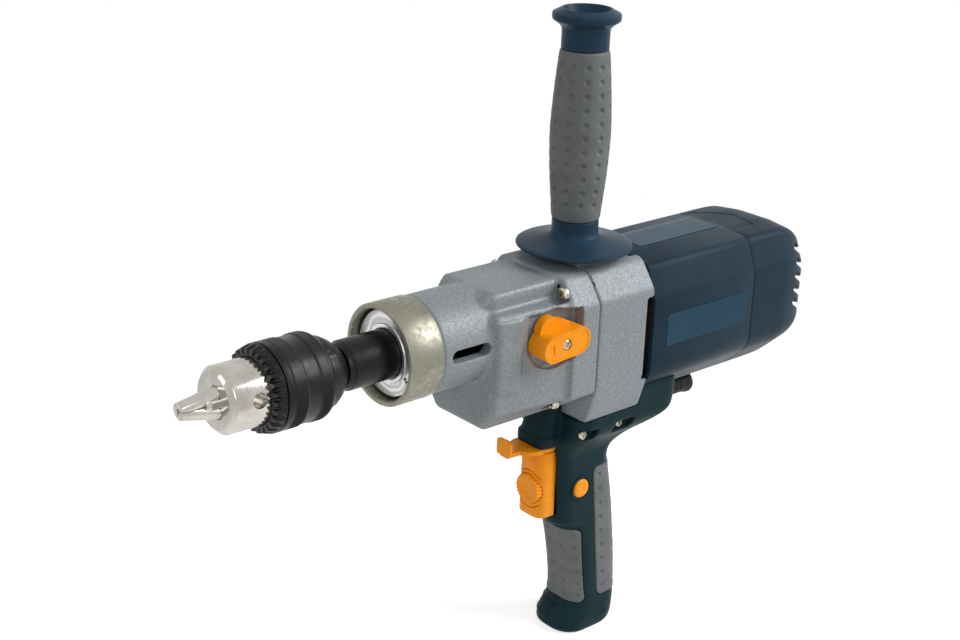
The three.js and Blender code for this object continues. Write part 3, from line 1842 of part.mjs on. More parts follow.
const finish = (colour, roughness, metalness) =>
  new THREE.MeshStandardMaterial({ color: colour, roughness, metalness });
const brightSteel = finish("#c9c7c0", 0.25, 1);
const blackOxide = finish("#1b1d1f", 0.45, 0.6);
const rawAluminium = finish("#b4b3a6", 0.42, 0.9);
const silverPaint = finish("#969ea0", 0.5, 0.35);
const navyPlastic = finish("#2d3f4d", 0.5, 0);
const gripPlastic = finish("#22363d", 0.6, 0);
const orangePlastic = finish("#f0921c", 0.45, 0);
const greyRubber = finish("#6c6e70", 0.85, 0);
const blackRubber = finish("#1d1d1c", 0.8, 0);
const gearSteel = finish("#8d8f8f", 0.35, 1);
const copper = finish("#b06a3a", 0.4, 1);
const laminate = finish("#6d6a66", 0.5, 0.8);
const carbon = finish("#26262a", 0.7, 0.1);

const drill = new THREE.Group();

function add(name, solid, material) {
  const mesh = new THREE.Mesh(geometryFrom(solid), material);
  mesh.name = name;
  drill.add(mesh);
}

add("chuck_body", chuckBody(), brightSteel);
for (const k of [0, 1, 2]) add("chuck_jaw_" + (k + 1), chuckJaw(k), brightSteel);
add("chuck_sleeve", chuckSleeve(), blackOxide);
add("spindle", spindle(), blackOxide);
add(
  "spindle_bearing_front",
  bearing(bearingFrontX, bearingFrontLength - gap, spindleSeatRadius + gap, bearingFrontRadius),
  gearSteel,
);
add(
  "spindle_bearing_rear",
  bearing(bearingRearX, bearingRearLength - gap, spindleGearSeatRadius, bearingRearRadius),
  gearSteel,
);
add("bearing_retainer", bearingRetainer(), rawAluminium);
add("clamp_collar", clampCollar(), rawAluminium);
add("gearbox_front", gearboxFront(), silverPaint);
add("gearbox_rear", gearboxRear(), silverPaint);
screwPlaces.forEach((place, k) => add("gearbox_screw_" + (k + 1), gearboxScrew(place), brightSteel));
add("low_speed_gear", lowGear(), gearSteel);
add("high_speed_gear", highGear(), gearSteel);
add("shift_clutch", shiftClutch(), gearSteel);
add("countershaft", countershaft(), gearSteel);
add("countershaft_gear", firstGear(), gearSteel);
add("countershaft_bearing_front", countershaftBearing(counterBearingFrontX), gearSteel);
add("countershaft_bearing_rear", countershaftBearing(counterBearingRearX), gearSteel);
add("selector_knob", selectorKnob(), orangePlastic);
add("selector_shaft", selectorShaft(), gearSteel);
add("selector_screw", knobScrew(), brightSteel);
add("selector_fork", selectorFork(), gearSteel);
add("motor_housing", motorHousing(), navyPlastic);
add("rear_cap", rearCap(), navyPlastic);
add("armature_shaft", armatureShaft(), gearSteel);
add("armature_core", armatureCore(), laminate);
add("armature_winding", armatureWinding(), copper);
add("commutator", commutator(), copper);
add("cooling_fan", coolingFan(), blackRubber);
add("field_stator", fieldStator(), laminate);
add("field_coil_upper", fieldCoilUpper(), copper);
add("field_coil_lower", fieldCoilLower(), copper);
const motorBearings = [
  ["motor_bearing_front", motorBearingFrontX, motorBearingRadius],
  ["motor_bearing_rear", rearBearingX, rearBearingRadius],
];
for (const [name, x, outer] of motorBearings) add(name, motorBearing(x, outer), gearSteel);
for (const [name, side] of [["left", -1], ["right", 1]]) {
  const { brush, holder } = brushParts(side);
  add("carbon_brush_" + name, brush, carbon);
  add("brush_holder_" + name, holder, laminate);
}
add("side_handle", handleCore(), navyPlastic);
add("side_handle_rubber", handleRubber(), greyRubber);
add("side_handle_stud", handleStud(), gearSteel);
gripScrewXs.forEach((x, k) => add("grip_screw_" + (k + 1), gripScrew(x), brightSteel));
const halves = gripHalves();
add("grip_left", halves.left, gripPlastic);
add("grip_right", halves.right, gripPlastic);
add("grip_pad_front", padFrom(frontPadRegion), greyRubber);
add("grip_pad_rear", padFrom(rearPadRegion), greyRubber);
add("trigger", trigger(), orangePlastic);
add("speed_dial", speedDial(), orangePlastic);
add("reverse_lever", reverseLever(), orangePlastic);
add("lock_button", lockButton(), orangePlastic);
add("switch_body", switchBody(), blackRubber);
add("cord_gland", cordGland(), blackRubber);

// The part's own origin: under the middle of its box, on the level of the grip's foot.
const middleX = (jawTipX + capRearX) / 2;
const middleY = (selectorFaceY + housingHalf) / 2;
drill.position.set(-middleX, -middleY, -gripFootZ);
drill.updateMatrixWorld(true);

export default drill;
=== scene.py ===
"""Looks for the two-speed electric drill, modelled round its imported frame.

Lengths are written in millimetres. Along the drill they are counted from the front face of the clamp
collar, and across it and in height from the spindle's axis: at() turns them into the frame's metres.
"""

import math

import bmesh
import bpy
from mathutils import Matrix, Vector


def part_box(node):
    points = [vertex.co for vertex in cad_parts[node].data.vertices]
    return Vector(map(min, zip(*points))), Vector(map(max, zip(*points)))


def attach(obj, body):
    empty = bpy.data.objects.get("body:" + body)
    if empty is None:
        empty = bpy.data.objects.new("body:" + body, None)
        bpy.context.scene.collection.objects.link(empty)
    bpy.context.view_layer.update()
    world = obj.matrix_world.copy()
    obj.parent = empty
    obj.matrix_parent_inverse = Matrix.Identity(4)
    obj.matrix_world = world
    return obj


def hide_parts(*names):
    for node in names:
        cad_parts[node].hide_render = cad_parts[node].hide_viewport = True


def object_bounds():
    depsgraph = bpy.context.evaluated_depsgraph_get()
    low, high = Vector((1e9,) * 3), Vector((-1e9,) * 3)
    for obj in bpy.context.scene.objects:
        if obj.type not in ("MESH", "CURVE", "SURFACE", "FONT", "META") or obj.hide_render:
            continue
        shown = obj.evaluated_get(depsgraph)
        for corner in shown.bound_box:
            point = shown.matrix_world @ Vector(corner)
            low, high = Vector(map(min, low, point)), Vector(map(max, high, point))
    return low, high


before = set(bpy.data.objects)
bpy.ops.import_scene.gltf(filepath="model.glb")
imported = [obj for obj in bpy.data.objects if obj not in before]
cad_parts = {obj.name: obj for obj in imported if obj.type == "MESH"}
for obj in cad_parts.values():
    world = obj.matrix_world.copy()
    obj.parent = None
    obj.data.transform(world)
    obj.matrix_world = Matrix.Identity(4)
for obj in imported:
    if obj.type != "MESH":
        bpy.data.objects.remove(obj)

bl_info = {
    "name": "Electric Drill Looks",
    "version": (1, 0, 0),
    "blender": (4, 5, 0),
    "location": "3D View > Sidebar > Drill",
    "description": "Models the shells, rubber, metal and controls of a heavy two-speed drill",
    "category": "Object",
}

MM = 0.001
ROOT = "drill"
CAD_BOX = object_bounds()
COLLAR_LOW, COLLAR_HIGH = (Vector(corner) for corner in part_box("clamp_collar"))
ORIGIN = (COLLAR_LOW + COLLAR_HIGH) / 2
ORIGIN.x = COLLAR_LOW.x


def mm(length):
    """A length in millimetres as metres."""
    return length * MM


def at(x, y, z):
    """A place on the drill, in the frame's metres."""
    return ORIGIN + Vector((x, y, z)) * MM


def linear(code):
    """An sRGB hex colour as linear red, green and blue."""
    parts = [int(code[i:i + 2], 16) / 255 for i in (1, 3, 5)]
    return [c / 12.92 if c <= 0.04045 else ((c + 0.055) / 1.055) ** 2.4 for c in parts]


def length(size, name, description):
    """A length that a user would change, given in millimetres."""
    return bpy.props.FloatProperty(
        name=name, description=description, default=mm(size), min=0, unit="LENGTH", subtype="DISTANCE"
    )


def colour(code, name, description):
    """A colour that a user would change, given as sRGB hex."""
    return bpy.props.FloatVectorProperty(
        name=name, description=description, default=linear(code), min=0, max=1, size=3, subtype="COLOR"
    )


class DrillSizes(bpy.types.PropertyGroup):
    """Sizes of the finish and the small forms."""

    tooth_depth: length(3.0, "Key tooth depth", "Depth of the teeth that the chuck key turns")
    knurl_depth: length(0.5, "Knurl depth", "Depth of the diamonds on the chuck sleeve")
    dent_radius: length(2.0, "Dent radius", "Radius of the dents in the handle's rubber")
    pad_dent_radius: length(1.85, "Pad dent radius", "Radius of the dents in the grip's rubber pads")
    cast_voxel: length(0.75, "Casting detail", "Finest form that is kept in the gearbox castings")
    moulded_voxel: length(0.8, "Moulding detail", "Finest form that is kept in the grip")
    rubber_voxel: length(0.5, "Rubber detail", "Finest form that is kept in the rubber with its dents")


class DrillColours(bpy.types.PropertyGroup):
    """Colours of the finishes."""

    steel: colour("#BDB9B2", "Ground steel", "Chuck nose and jaws")
    oxide: colour("#0D0F10", "Black oxide", "Chuck sleeve and spindle")
    aluminium: colour("#8F8D7F", "Bare aluminium", "Clamp collar and retainer")
    paint: colour("#868C8F", "Casting paint", "Silver paint of the gearbox")
    navy: colour("#20323F", "Navy plastic", "Motor housing and rear cap")
    handle: colour("#253C4D", "Handle plastic", "Core of the side handle")
    teal: colour("#142C31", "Grip plastic", "Pistol grip")
    orange: colour("#FF9A08", "Orange plastic", "Selector, trigger, lever and button")
    rubber: colour("#686B6B", "Grey rubber", "Handle and grip pads")
    label: colour("#1F4053", "Label film", "Bare label places on the motor housing")
    floor: colour("#F4F4F2", "Floor", "Studio floor")


def sizes():
    """The drill's sizes as the panel holds them, in metres."""
    return bpy.context.scene.drill_sizes


def colours():
    """The drill's colours as the panel holds them."""
    return bpy.context.scene.drill_colours


# Materials

CLOUD_SPAN = (0.35, 0.65)
GRAIN_SPAN = (0.3, 0.7)


def add(tree, kind, inputs=None, **settings):
    """Adds a node, sets its own settings, and sets or links each of its inputs."""
    node = tree.nodes.new("ShaderNode" + kind)
    for name, value in settings.items():
        setattr(node, name, value)
    for name, value in (inputs or {}).items():
        if isinstance(value, bpy.types.NodeSocket):
            tree.links.new(value, node.inputs[name])
        else:
            node.inputs[name].default_value = value
    return node


def blank(name, tint, rough, metal=0.0, **surface):
    """A new material of one tint, its node tree and its shader."""
    material = bpy.data.materials.new(name)
    material.use_nodes = True
    tree = material.node_tree
    shader = tree.nodes["Principled BSDF"]
    shader.inputs["Base Color"].default_value = (*tint, 1)
    shader.inputs["Roughness"].default_value = rough
    shader.inputs["Metallic"].default_value = metal
    for name, value in surface.items():
        shader.inputs[name.replace("_", " ")].default_value = value
    return material, tree, shader


def patches(tree, size, detail=2.0, stretch=(1, 1, 1)):
    """Uneven patches of about a size in millimetres, drawn out along the axes that stretch shortens."""
    place = add(tree, "TexCoord").outputs["Object"]
    offset = [-s * c for s, c in zip(stretch, ORIGIN)]
    spread = add(tree, "Mapping", {"Vector": place, "Scale": stretch, "Location": offset})
    noise = add(tree, "TexNoise", {"Vector": spread.outputs[0], "Scale": 1 / mm(size), "Detail": detail})
    return noise.outputs["Fac"]


def ranged(tree, value, low, high, to_low, to_high):
    """A pattern's value carried from one range to another."""
    inputs = {"Value": value, "From Min": low, "From Max": high, "To Min": to_low, "To Max": to_high}
    return add(tree, "MapRange", inputs).outputs["Result"]


def tinted(tree, shader, pattern, first, second, span=CLOUD_SPAN, most=1):
    """The surface's colour goes from one tint towards another over a span of a pattern."""
    amount = ranged(tree, pattern, *span, 0, most)
    mix = add(tree, "MixRGB", {"Fac": amount, "Color1": (*first, 1), "Color2": (*second, 1)})
    tree.links.new(mix.outputs["Color"], shader.inputs["Base Color"])


def roughened(tree, shader, pattern, first, second, span=GRAIN_SPAN):
    """The surface's roughness goes from one value to another over a span of a pattern."""
    tree.links.new(ranged(tree, pattern, *span, first, second), shader.inputs["Roughness"])


def raised(tree, shader, height, depth, strength=1.0):
    """A relief of a depth in millimetres on the surface."""
    bump = add(tree, "Bump", {"Height": height, "Distance": mm(depth), "Strength": strength})
    tree.links.new(bump.outputs["Normal"], shader.inputs["Normal"])


def shade(tint, share):
    """A tint made darker or lighter by a share."""
    return [min(part * share, 1) for part in tint]


def ground_steel():
    """Hardened steel ground on a lathe: fine rings round the axis and a bright, slightly uneven face."""
    tint = colours().steel
    material, tree, shader = blank("ground_steel", tint, 0.16, 1.0)
    rings = patches(tree, 0.7, 1, (1, 0.01, 0.01))
    roughened(tree, shader, rings, 0.1, 0.2)
    tinted(tree, shader, patches(tree, 9), shade(tint, 0.82), tint)
    raised(tree, shader, rings, 0.01, 0.4)
    return material


def black_oxide():
    """Blackened steel, oiled: nearly black with a soft sheen, and bare metal where edges are worn."""
    tint = colours().oxide
    material, tree, shader = blank("black_oxide_steel", tint, 0.34, 0.2, Specular_IOR_Level=0.28)
    edges = add(tree, "NewGeometry").outputs["Pointiness"]
    tinted(tree, shader, edges, tint, linear("#8D8C88"), (0.56, 0.68), 0.5)
    roughened(tree, shader, patches(tree, 5), 0.27, 0.42)
    raised(tree, shader, patches(tree, 0.5), 0.015, 0.6)
    return material


def bare_aluminium():
    """A turned and weathered aluminium ring: dull warm grey in clouds, with faint tool rings."""
    tint = colours().aluminium
    material, tree, shader = blank("turned_aluminium_weathered", tint, 0.4, 0.85)
    clouds = patches(tree, 3, 4)
    tinted(tree, shader, clouds, linear("#7F7D70"), tint, GRAIN_SPAN)
    roughened(tree, shader, clouds, 0.52, 0.33, CLOUD_SPAN)
    raised(tree, shader, patches(tree, 0.5, 1, (1, 0.03, 0.03)), 0.03, 0.5)
    return material


def faced_aluminium():
    """An aluminium face left by the lathe tool: bright, with rings that waver round the axis."""
    material, tree, shader = blank("faced_aluminium", linear("#DAD9D5"), 0.3, 1.0)
    place = add(tree, "TexCoord").outputs["Object"]
    middle = [0, -ORIGIN.y, -ORIGIN.z]
    centred = add(tree, "Mapping", {"Vector": place, "Location": middle, "Scale": (0, 1, 1)})
    wave = {"Vector": centred.outputs[0], "Scale": 1 / mm(14), "Distortion": 6.0, "Detail": 3.0}
    rings = add(tree, "TexWave", wave, wave_type="RINGS", rings_direction="X").outputs["Fac"]
    tinted(tree, shader, rings, linear("#B9BABA"), linear("#DFDEDB"), (0.1, 0.9))
    roughened(tree, shader, rings, 0.36, 0.26, (0, 1))
    raised(tree, shader, rings, 0.05, 0.6)
    return material


def cast_paint():
    """Silver paint on die-cast aluminium: metal flakes sparkle in it, and its skin is like fine peel.

    Real flakes are about 0.1 mm, and are drawn at 0.5 mm so that they show.
    """
    tint = colours().paint
    material, tree, shader = blank("silver_paint_on_casting", tint, 0.5, 0.15, Specular_IOR_Level=0.25)
    place = add(tree, "TexCoord").outputs["Object"]
    flakes = add(tree, "TexVoronoi", {"Vector": place, "Scale": 1 / mm(0.55)}).outputs["Color"]
    glitter = add(tree, "SeparateColor", {"Color": flakes}).outputs["Red"]
    tinted(tree, shader, glitter, shade(tint, 0.86), shade(tint, 1.22), (0.1, 0.95))
    roughened(tree, shader, glitter, 0.56, 0.4, (0.2, 1))
    raised(tree, shader, patches(tree, 0.7), 0.05, 0.6)
    return material


def moulded_plastic(name, tint, rough=0.42, grain=0.45):
    """Glass-filled nylon from a spark-eroded mould: a satin skin with fine grain and faint flow clouds."""
    material, tree, shader = blank(name, tint, rough, Specular_IOR_Level=0.07)
    fine = patches(tree, grain, 2)
    tinted(tree, shader, patches(tree, 22, 3), shade(tint, 0.9), shade(tint, 1.1))
    roughened(tree, shader, fine, rough - 0.06, rough + 0.08)
    raised(tree, shader, fine, 0.04, 0.5)
    return material


def orange_plastic():
    """ABS from a polished mould: even and slightly shiny."""
    tint = colours().orange
    material, tree, shader = blank("orange_abs", tint, 0.36, Specular_IOR_Level=0.25)
    clouds = patches(tree, 6, 3)
    tinted(tree, shader, clouds, shade(tint, 0.93), shade(tint, 1.05))
    roughened(tree, shader, clouds, 0.32, 0.42)
    raised(tree, shader, patches(tree, 0.6), 0.02, 0.4)
    return material


def soft_rubber(name, tint, rough=0.62):
    """Thermoplastic rubber: dull, slightly dusty, with a fine speckle where the mould was blasted."""
    material, tree, shader = blank(name, tint, rough, Specular_IOR_Level=0.25)
    speckle = patches(tree, 0.4, 2)
    both = add(tree, "Math", {0: speckle, 1: patches(tree, 12, 3)}, operation="ADD").outputs[0]
    tinted(tree, shader, both, shade(tint, 0.86), shade(tint, 1.12), (0.8, 1.2))
    roughened(tree, shader, speckle, rough - 0.07, rough + 0.1)
    raised(tree, shader, speckle, 0.05, 0.6)
    return material


def plated_steel():
    """Zinc-plated screw steel: warm and bright, with darker patches where the plating is thin."""
    material, tree, shader = blank("zinc_plated_steel", linear("#B9B29E"), 0.28, 1.0)
    clouds = patches(tree, 1.2, 3)
    tinted(tree, shader, clouds, linear("#7E775F"), linear("#D8D3C4"))
    roughened(tree, shader, clouds, 0.36, 0.22)
    return material


def label_film():
    """A vinyl film with nothing printed on it: smoother than the plastic that it covers."""
    tint = colours().label
    material, tree, shader = blank("label_film", tint, 0.3, Specular_IOR_Level=0.1)
    clouds = patches(tree, 15, 2)
    tinted(tree, shader, clouds, shade(tint, 0.93), shade(tint, 1.06))
    roughened(tree, shader, clouds, 0.26, 0.34)
    return material


# Shaping

ROUND = 96
AXES = {"X": Vector((1, 0, 0)), "Y": Vector((0, 1, 0)), "Z": Vector((0, 0, 1))}
EDGE_ANGLE = math.radians(32)
TINY = 1e-6


def take(*pieces):
    """Selects these pieces alone, with the first one active."""
    bpy.ops.object.select_all(action="DESELECT")
    for piece in pieces:
        piece.select_set(True)
    if pieces:
        bpy.context.view_layer.objects.active = pieces[0]


def edit(piece):
    """Goes into edit mode with nothing of the piece selected."""
    take(piece)
    bpy.ops.object.mode_set(mode="EDIT")
    bpy.ops.mesh.select_all(action="DESELECT")
    return bmesh.from_edit_mesh(piece.data)


def leave():
    """Goes back to object mode."""
    bpy.ops.object.mode_set(mode="OBJECT")


def named(name):
    """The piece that was added last, named, with its place in its mesh."""
    piece = bpy.context.active_object
    piece.name = name
    piece.data.name = name
    bpy.ops.object.transform_apply(location=True, rotation=True, scale=True)
    return piece


def closed(piece):
    """Merges doubled points and turns every face outwards."""
    edit(piece)
    bpy.ops.mesh.select_all(action="SELECT")
    bpy.ops.mesh.remove_doubles(threshold=TINY)
    bpy.ops.mesh.normals_make_consistent(inside=False)
    leave()
    return piece


def turned(name, profile, axis="X", foot=(0, 0, 0), steps=ROUND, hollow=False):
    """A turned piece: a circle drawn out through stations of (place, radius) along an axis."""
    way = AXES[axis]
    centre = at(*foot)
    (place, radius), *rest = profile
    take()
    bpy.ops.mesh.primitive_circle_add(
        vertices=steps, radius=mm(radius), fill_type="NOTHING" if hollow else "NGON",
        location=centre + way * mm(place), rotation=way.to_track_quat("Z", "Y").to_euler(),
    )
    piece = named(name)
    bpy.ops.object.mode_set(mode="EDIT")
    bpy.ops.mesh.select_all(action="SELECT")
    draw = bpy.ops.mesh.extrude_edges_move if hollow else bpy.ops.mesh.extrude_region_move
    for next_place, next_radius in rest + (profile[:1] if hollow else []):
        draw(TRANSFORM_OT_translate={"value": way * mm(next_place - place)})
        share = next_radius / radius
        bpy.ops.transform.resize(value=(share,) * 3, center_override=centre + way * mm(next_place))
        place, radius = next_place, next_radius
    leave()
    return closed(piece)


def rounded(corners, steps=6):
    """The points of an outline whose corners of (u, v, radius) are rounded."""
    points = []
    for i, (u, v, radius) in enumerate(corners):
        here = Vector((u, v))
        before = Vector(corners[i - 1][:2]) - here
        after = Vector(corners[(i + 1) % len(corners)][:2]) - here
        half = before.angle(after) / 2
        reach = min(radius / math.tan(half), before.length / 2, after.length / 2)
        middle = here + (before.normalized() + after.normalized()).normalized() * reach / math.cos(half)
        start = here + before.normalized() * reach - middle
        end = here + after.normalized() * reach - middle
        turn = math.atan2(start.cross(end), start.dot(end))
        for k in range(steps + 1):
            points.append(tuple(Matrix.Rotation(turn * k / steps, 2) @ start + middle))
    return points


def lofted(name, axis, rows):
    """A piece drawn along an axis through rows of (place, points), each row with as many points."""
    def spot(place, u, v):
        return at(*{"X": (place, u, v), "Y": (u, place, v), "Z": (u, v, place)}[axis])

    take()
    bpy.ops.mesh.primitive_circle_add(vertices=len(rows[0][1]), fill_type="NGON")
    piece = named(name)
    mesh = edit(piece)
    bpy.ops.mesh.select_all(action="SELECT")
    number = mesh.verts.layers.int.new("number")
    for i, vertex in enumerate(mesh.verts):
        vertex[number] = i
    for i, (place, points) in enumerate(rows):
        if i:
            bpy.ops.mesh.extrude_region_move()
        mesh = bmesh.from_edit_mesh(piece.data)
        number = mesh.verts.layers.int["number"]
        for vertex in mesh.verts:
            if vertex.select:
                vertex.co = spot(place, *points[vertex[number]])
    bmesh.update_edit_mesh(piece.data)
    leave()
    piece.data.attributes.remove(piece.data.attributes["number"])
    return closed(piece)


def curved(rows, parts=3):
    """Rows of numbers with more rows between them, on a smooth curve through them all."""
    ends = [rows[0], *rows, rows[-1]]
    made = []
    for four in zip(ends, ends[1:], ends[2:], ends[3:]):
        for part in range(parts):
            t = part / parts
            made.append([
                b + (c - a) * t / 2 + (2 * a - 5 * b + 4 * c - d) * t * t / 2
                + (3 * b - a - 3 * c + d) * t ** 3 / 2
                for a, b, c, d in zip(*four)
            ])
    return made + [list(rows[-1])]


def mirrored(side):
    """A whole outline from the corners of its far half, bottom to top."""
    return list(side) + [(-u, v, radius) for u, v, radius in reversed(side)]


def rectangle(u, v, radius):
    """The corners of an upright rectangle between two places each way."""
    return [(u[0], v[0], radius), (u[1], v[0], radius), (u[1], v[1], radius), (u[0], v[1], radius)]


def prism(name, corners, axis, start, end, steps=6):
    """A straight piece with rounded corners, drawn along an axis."""
    points = rounded(corners, steps)
    return lofted(name, axis, [(start, points), (end, points)])


def block(name, x, y, z, rounding=0.05, axis="Z"):
    """A block between two places on each axis, with the corners across one axis rounded."""
    u, v = {"X": (y, z), "Y": (x, z), "Z": (x, y)}[axis]
    along = {"X": x, "Y": y, "Z": z}[axis]
    return prism(name, rectangle(u, v, rounding), axis, *along, steps=6 if rounding > 0.5 else 1)


def rod(name, axis, start, end, radius, foot=(0, 0, 0), steps=48):
    """A straight round piece between two places on an axis."""
    return turned(name, [(start, radius), (end, radius)], axis, foot, steps)


def change(piece, kind, **settings):
    """Adds a modifier to a piece and applies it."""
    take(piece)
    modifier = piece.modifiers.new(kind, kind)
    for name, value in settings.items():
        setattr(modifier, name, value)
    bpy.ops.object.modifier_apply(modifier=modifier.name)
    return piece


def together(name, pieces):
    """Joins pieces that don't touch into one mesh."""
    take(*pieces)
    bpy.ops.object.join()
    pieces[0].name = name
    pieces[0].data.name = name
    return pieces[0]


def combine(piece, others, operation="DIFFERENCE"):
    """Cuts the others from a piece, adds them to it, or keeps what they share, and deletes them."""
    for other in others:
        change(piece, "BOOLEAN", object=other, operation=operation, solver="EXACT")
        bpy.data.objects.remove(other)
    return piece


def eased(piece, width, segments=2, angle=EDGE_ANGLE):
    """Rounds a piece's sharp edges by a width in millimetres."""
    return change(
        piece, "BEVEL", width=mm(width), segments=segments, limit_method="ANGLE", angle_limit=angle,
        use_clamp_overlap=True,
    )


def smooth(piece, angle=EDGE_ANGLE):
    """Shades a piece smoothly except over its sharp edges."""
    take(piece)
    bpy.ops.object.shade_smooth_by_angle(angle=angle)
    return piece


def cast(piece, voxel, rounds, most=180000):
    """Rebuilds a piece as one even skin, so that its inner corners get the fillets of a mould."""
    change(piece, "REMESH", mode="VOXEL", voxel_size=voxel)
    change(piece, "SMOOTH", factor=0.5, iterations=rounds)
    triangles = 2 * len(piece.data.polygons)
    if triangles > most:
        change(piece, "DECIMATE", ratio=most / triangles)
    take(piece)
    bpy.ops.object.shade_smooth()
    return piece


def spun(piece, angle, axis="X", foot=(0, 0, 0)):
    """Turns a piece's mesh about an axis through a place."""
    centre = at(*foot)
    turn = Matrix.Translation(centre) @ Matrix.Rotation(angle, 4, AXES[axis]) @ Matrix.Translation(-centre)
    piece.data.transform(turn)
    return piece


def copy(piece, shift=(0, 0, 0)):
    """A copy with its own mesh, moved by a shift in millimetres."""
    other = piece.copy()
    other.data = piece.data.copy()
    other.data.transform(Matrix.Translation(Vector(shift) * MM))
    bpy.context.collection.objects.link(other)
    return other


def around(piece, count, step, first=0.0):
    """Copies of a piece set round the spindle's axis, in place of the piece."""
    copies = [spun(copy(piece), first + k * step) for k in range(count)]
    bpy.data.objects.remove(piece)
    return copies


def dress(piece, material, body=ROOT, nodes=()):
    """Gives a piece its material, the body that it rides on and the frame nodes that it stands for."""
    piece.data.materials.clear()
    piece.data.materials.append(material)
    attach(piece, body)
    if nodes:
        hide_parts(*nodes)
    return piece


# Chuck and spindle

CHUCK_TURN = math.radians(22)
THIRD = 2 * math.pi / 3
NOSE_PROFILE = [
    (-102.3, 14.6), (-102.25, 15.0), (-102.0, 15.4), (-99.9, 17.65), (-99.5, 17.9), (-98.9, 18.0),
    (-76.3, 18.0), (-76.3, 13.8), (-70.7, 13.8), (-70.7, 19.5), (-38.0, 19.5), (-33.8, 17.0), (-31.0, 14.4),
    (-29.6, 13.2),
]
KEY_HOLE_X = -86.3
KEY_HOLE_RADIUS = 4.2
KEY_HOLE_DEPTH = 8
JAW_TIP_X = -122.2
JAW_RADIUS = 4.2
JAW_LENGTH = 50
JAW_BACK_RADIUS = 14.4
JAW_SLOPE = math.radians(13)
JAW_TIP_OFFSET = 0.5
JAW_GAP = 0.2
JAW_FOOT = (JAW_TIP_X, 0, JAW_TIP_OFFSET)
JAW_SEAT_X = (-12, 81.5)
JAW_PLAY = 0.3
BIT_RADIUS = 1.3
SHANK_SEAT = (-110, -56.3, 6.5)
SPINDLE_SEAT = (-56.3, -20, 7.9)
SLEEVE_STEPS = 224
SLEEVE_RADIUS = 23.7
TEETH = 28
TOOTH_GAP = (0.3, 0.85, 1.0, 0.85, 0.3)
TOOTH_STATIONS = [(-80.2, 22.0, 1.0), (-78.7, 22.45, 0.85), (-77.2, 22.9, 0.55), (-75.6, 23.35, 0.2)]
KNURL = 0.75
KNURL_BANDS = ((-68.8, 10), (-52.4, 8))
SLEEVE_REAR_X = -42.7
NOSE_REAR_X = -70.6


def jaw(k):
    """One of the three jaws: a round rod on a slope, ground to a third of the way round the axis."""
    rear = JAW_TIP_X + JAW_LENGTH * math.cos(JAW_SLOPE)
    piece = rod(f"jaw_{k + 1}_look", "X", -JAW_RADIUS, JAW_LENGTH, JAW_RADIUS, JAW_FOOT, 64)
    spun(piece, -JAW_SLOPE, "Y", JAW_FOOT)
    side = SLEEVE_RADIUS
    flank = side * math.sin(THIRD / 2)
    low = JAW_GAP + side * math.cos(THIRD / 2)
    wedge = [(0, JAW_GAP, 0), (flank, low, 0), (0, JAW_GAP + side, 0), (-flank, low, 0)]
    combine(piece, [
        prism("third", wedge, "X", JAW_TIP_X, rear + JAW_RADIUS, 1),
        rod("back", "X", JAW_TIP_X - 1, rear + JAW_RADIUS, JAW_BACK_RADIUS, steps=128),
    ], "INTERSECT")
    combine(piece, [rod("bit_seat", "X", JAW_TIP_X - 1, JAW_TIP_X + 14, BIT_RADIUS, steps=32)])
    return smooth(spun(eased(piece, 0.25), k * THIRD + CHUCK_TURN))


def chuck_part(name, start, end):
    """A length of the chuck's body with the holes for the key, the jaws, the bit and the spindle."""
    piece = turned(name, NOSE_PROFILE)
    side = SLEEVE_RADIUS
    combine(piece, [block("length", (start, end), (-side, side), (-side, side))], "INTERSECT")
    seat = rod("jaw_seat", "X", *JAW_SEAT_X, JAW_RADIUS + JAW_PLAY, JAW_FOOT, 64)
    spun(seat, -JAW_SLOPE, "Y", JAW_FOOT)
    hole = rod("key_hole", "Z", -20, KEY_HOLE_DEPTH - 18, KEY_HOLE_RADIUS, (KEY_HOLE_X, 0, 0))
    holes = around(seat, 3, THIRD, CHUCK_TURN) + around(hole, 3, THIRD, CHUCK_TURN)
    combine(piece, [*holes, rod("shank_seat", "X", *SHANK_SEAT), rod("spindle_seat", "X", *SPINDLE_SEAT)])
    return smooth(eased(piece, 0.25))


def chuck_body():
    """The bright nose, and the blackened rest of the chuck's body inside the sleeve."""
    nose = chuck_part("chuck_body_look", JAW_TIP_X, NOSE_REAR_X - 0.1)
    return nose, chuck_part("chuck_back_look", NOSE_REAR_X, 0)


def sleeve_profile():
    """The sleeve's section from its front: teeth, ring, knurl, smooth band, knurl, round end and bore."""
    knurls = [[(start + KNURL * i, SLEEVE_RADIUS) for i in range(1, rows + 1)] for start, rows in KNURL_BANDS]
    return [
        *((x, radius) for x, radius, _ in TOOTH_STATIONS), (-74.6, 23.6), (-74.2, 23.7),
        (-73.9, 23.0), (-73.2, 22.9), (-72.9, 23.6), (-72.6, 23.7), (-69.2, 23.7), (-68.8, 23.3), *knurls[0],
        (-60.6, 23.2), (-60.3, 23.1), (-52.8, 23.1), (-52.4, 23.3), *knurls[1],
        (-46.0, 23.3), (-45.4, 23.3), (-44.6, 23.0), (-43.9, 22.5), (-43.3, 21.7), (-42.9, 20.8),
        (SLEEVE_REAR_X, 20.3), (SLEEVE_REAR_X, 19.8), (-45.3, 19.8), (-45.3, 21.4), (-71, 21.4),
        (-71, 17.05), (-76, 15.85), (-76, 18.3), (-80.2, 18.3),
    ]


def pressed_in(piece, chosen, share):
    """Brings chosen points of a turned piece nearer to the spindle's axis by a share."""
    mesh = edit(piece)
    for vertex in mesh.verts:
        vertex.select = chosen(vertex.co)
    mesh.select_flush(True)
    bmesh.update_edit_mesh(piece.data)
    bpy.ops.transform.resize(value=(1, share, share), center_override=ORIGIN)
    leave()


def away(point):
    """How far a point is from the spindle's axis."""
    return math.hypot(point.y - ORIGIN.y, point.z - ORIGIN.z)


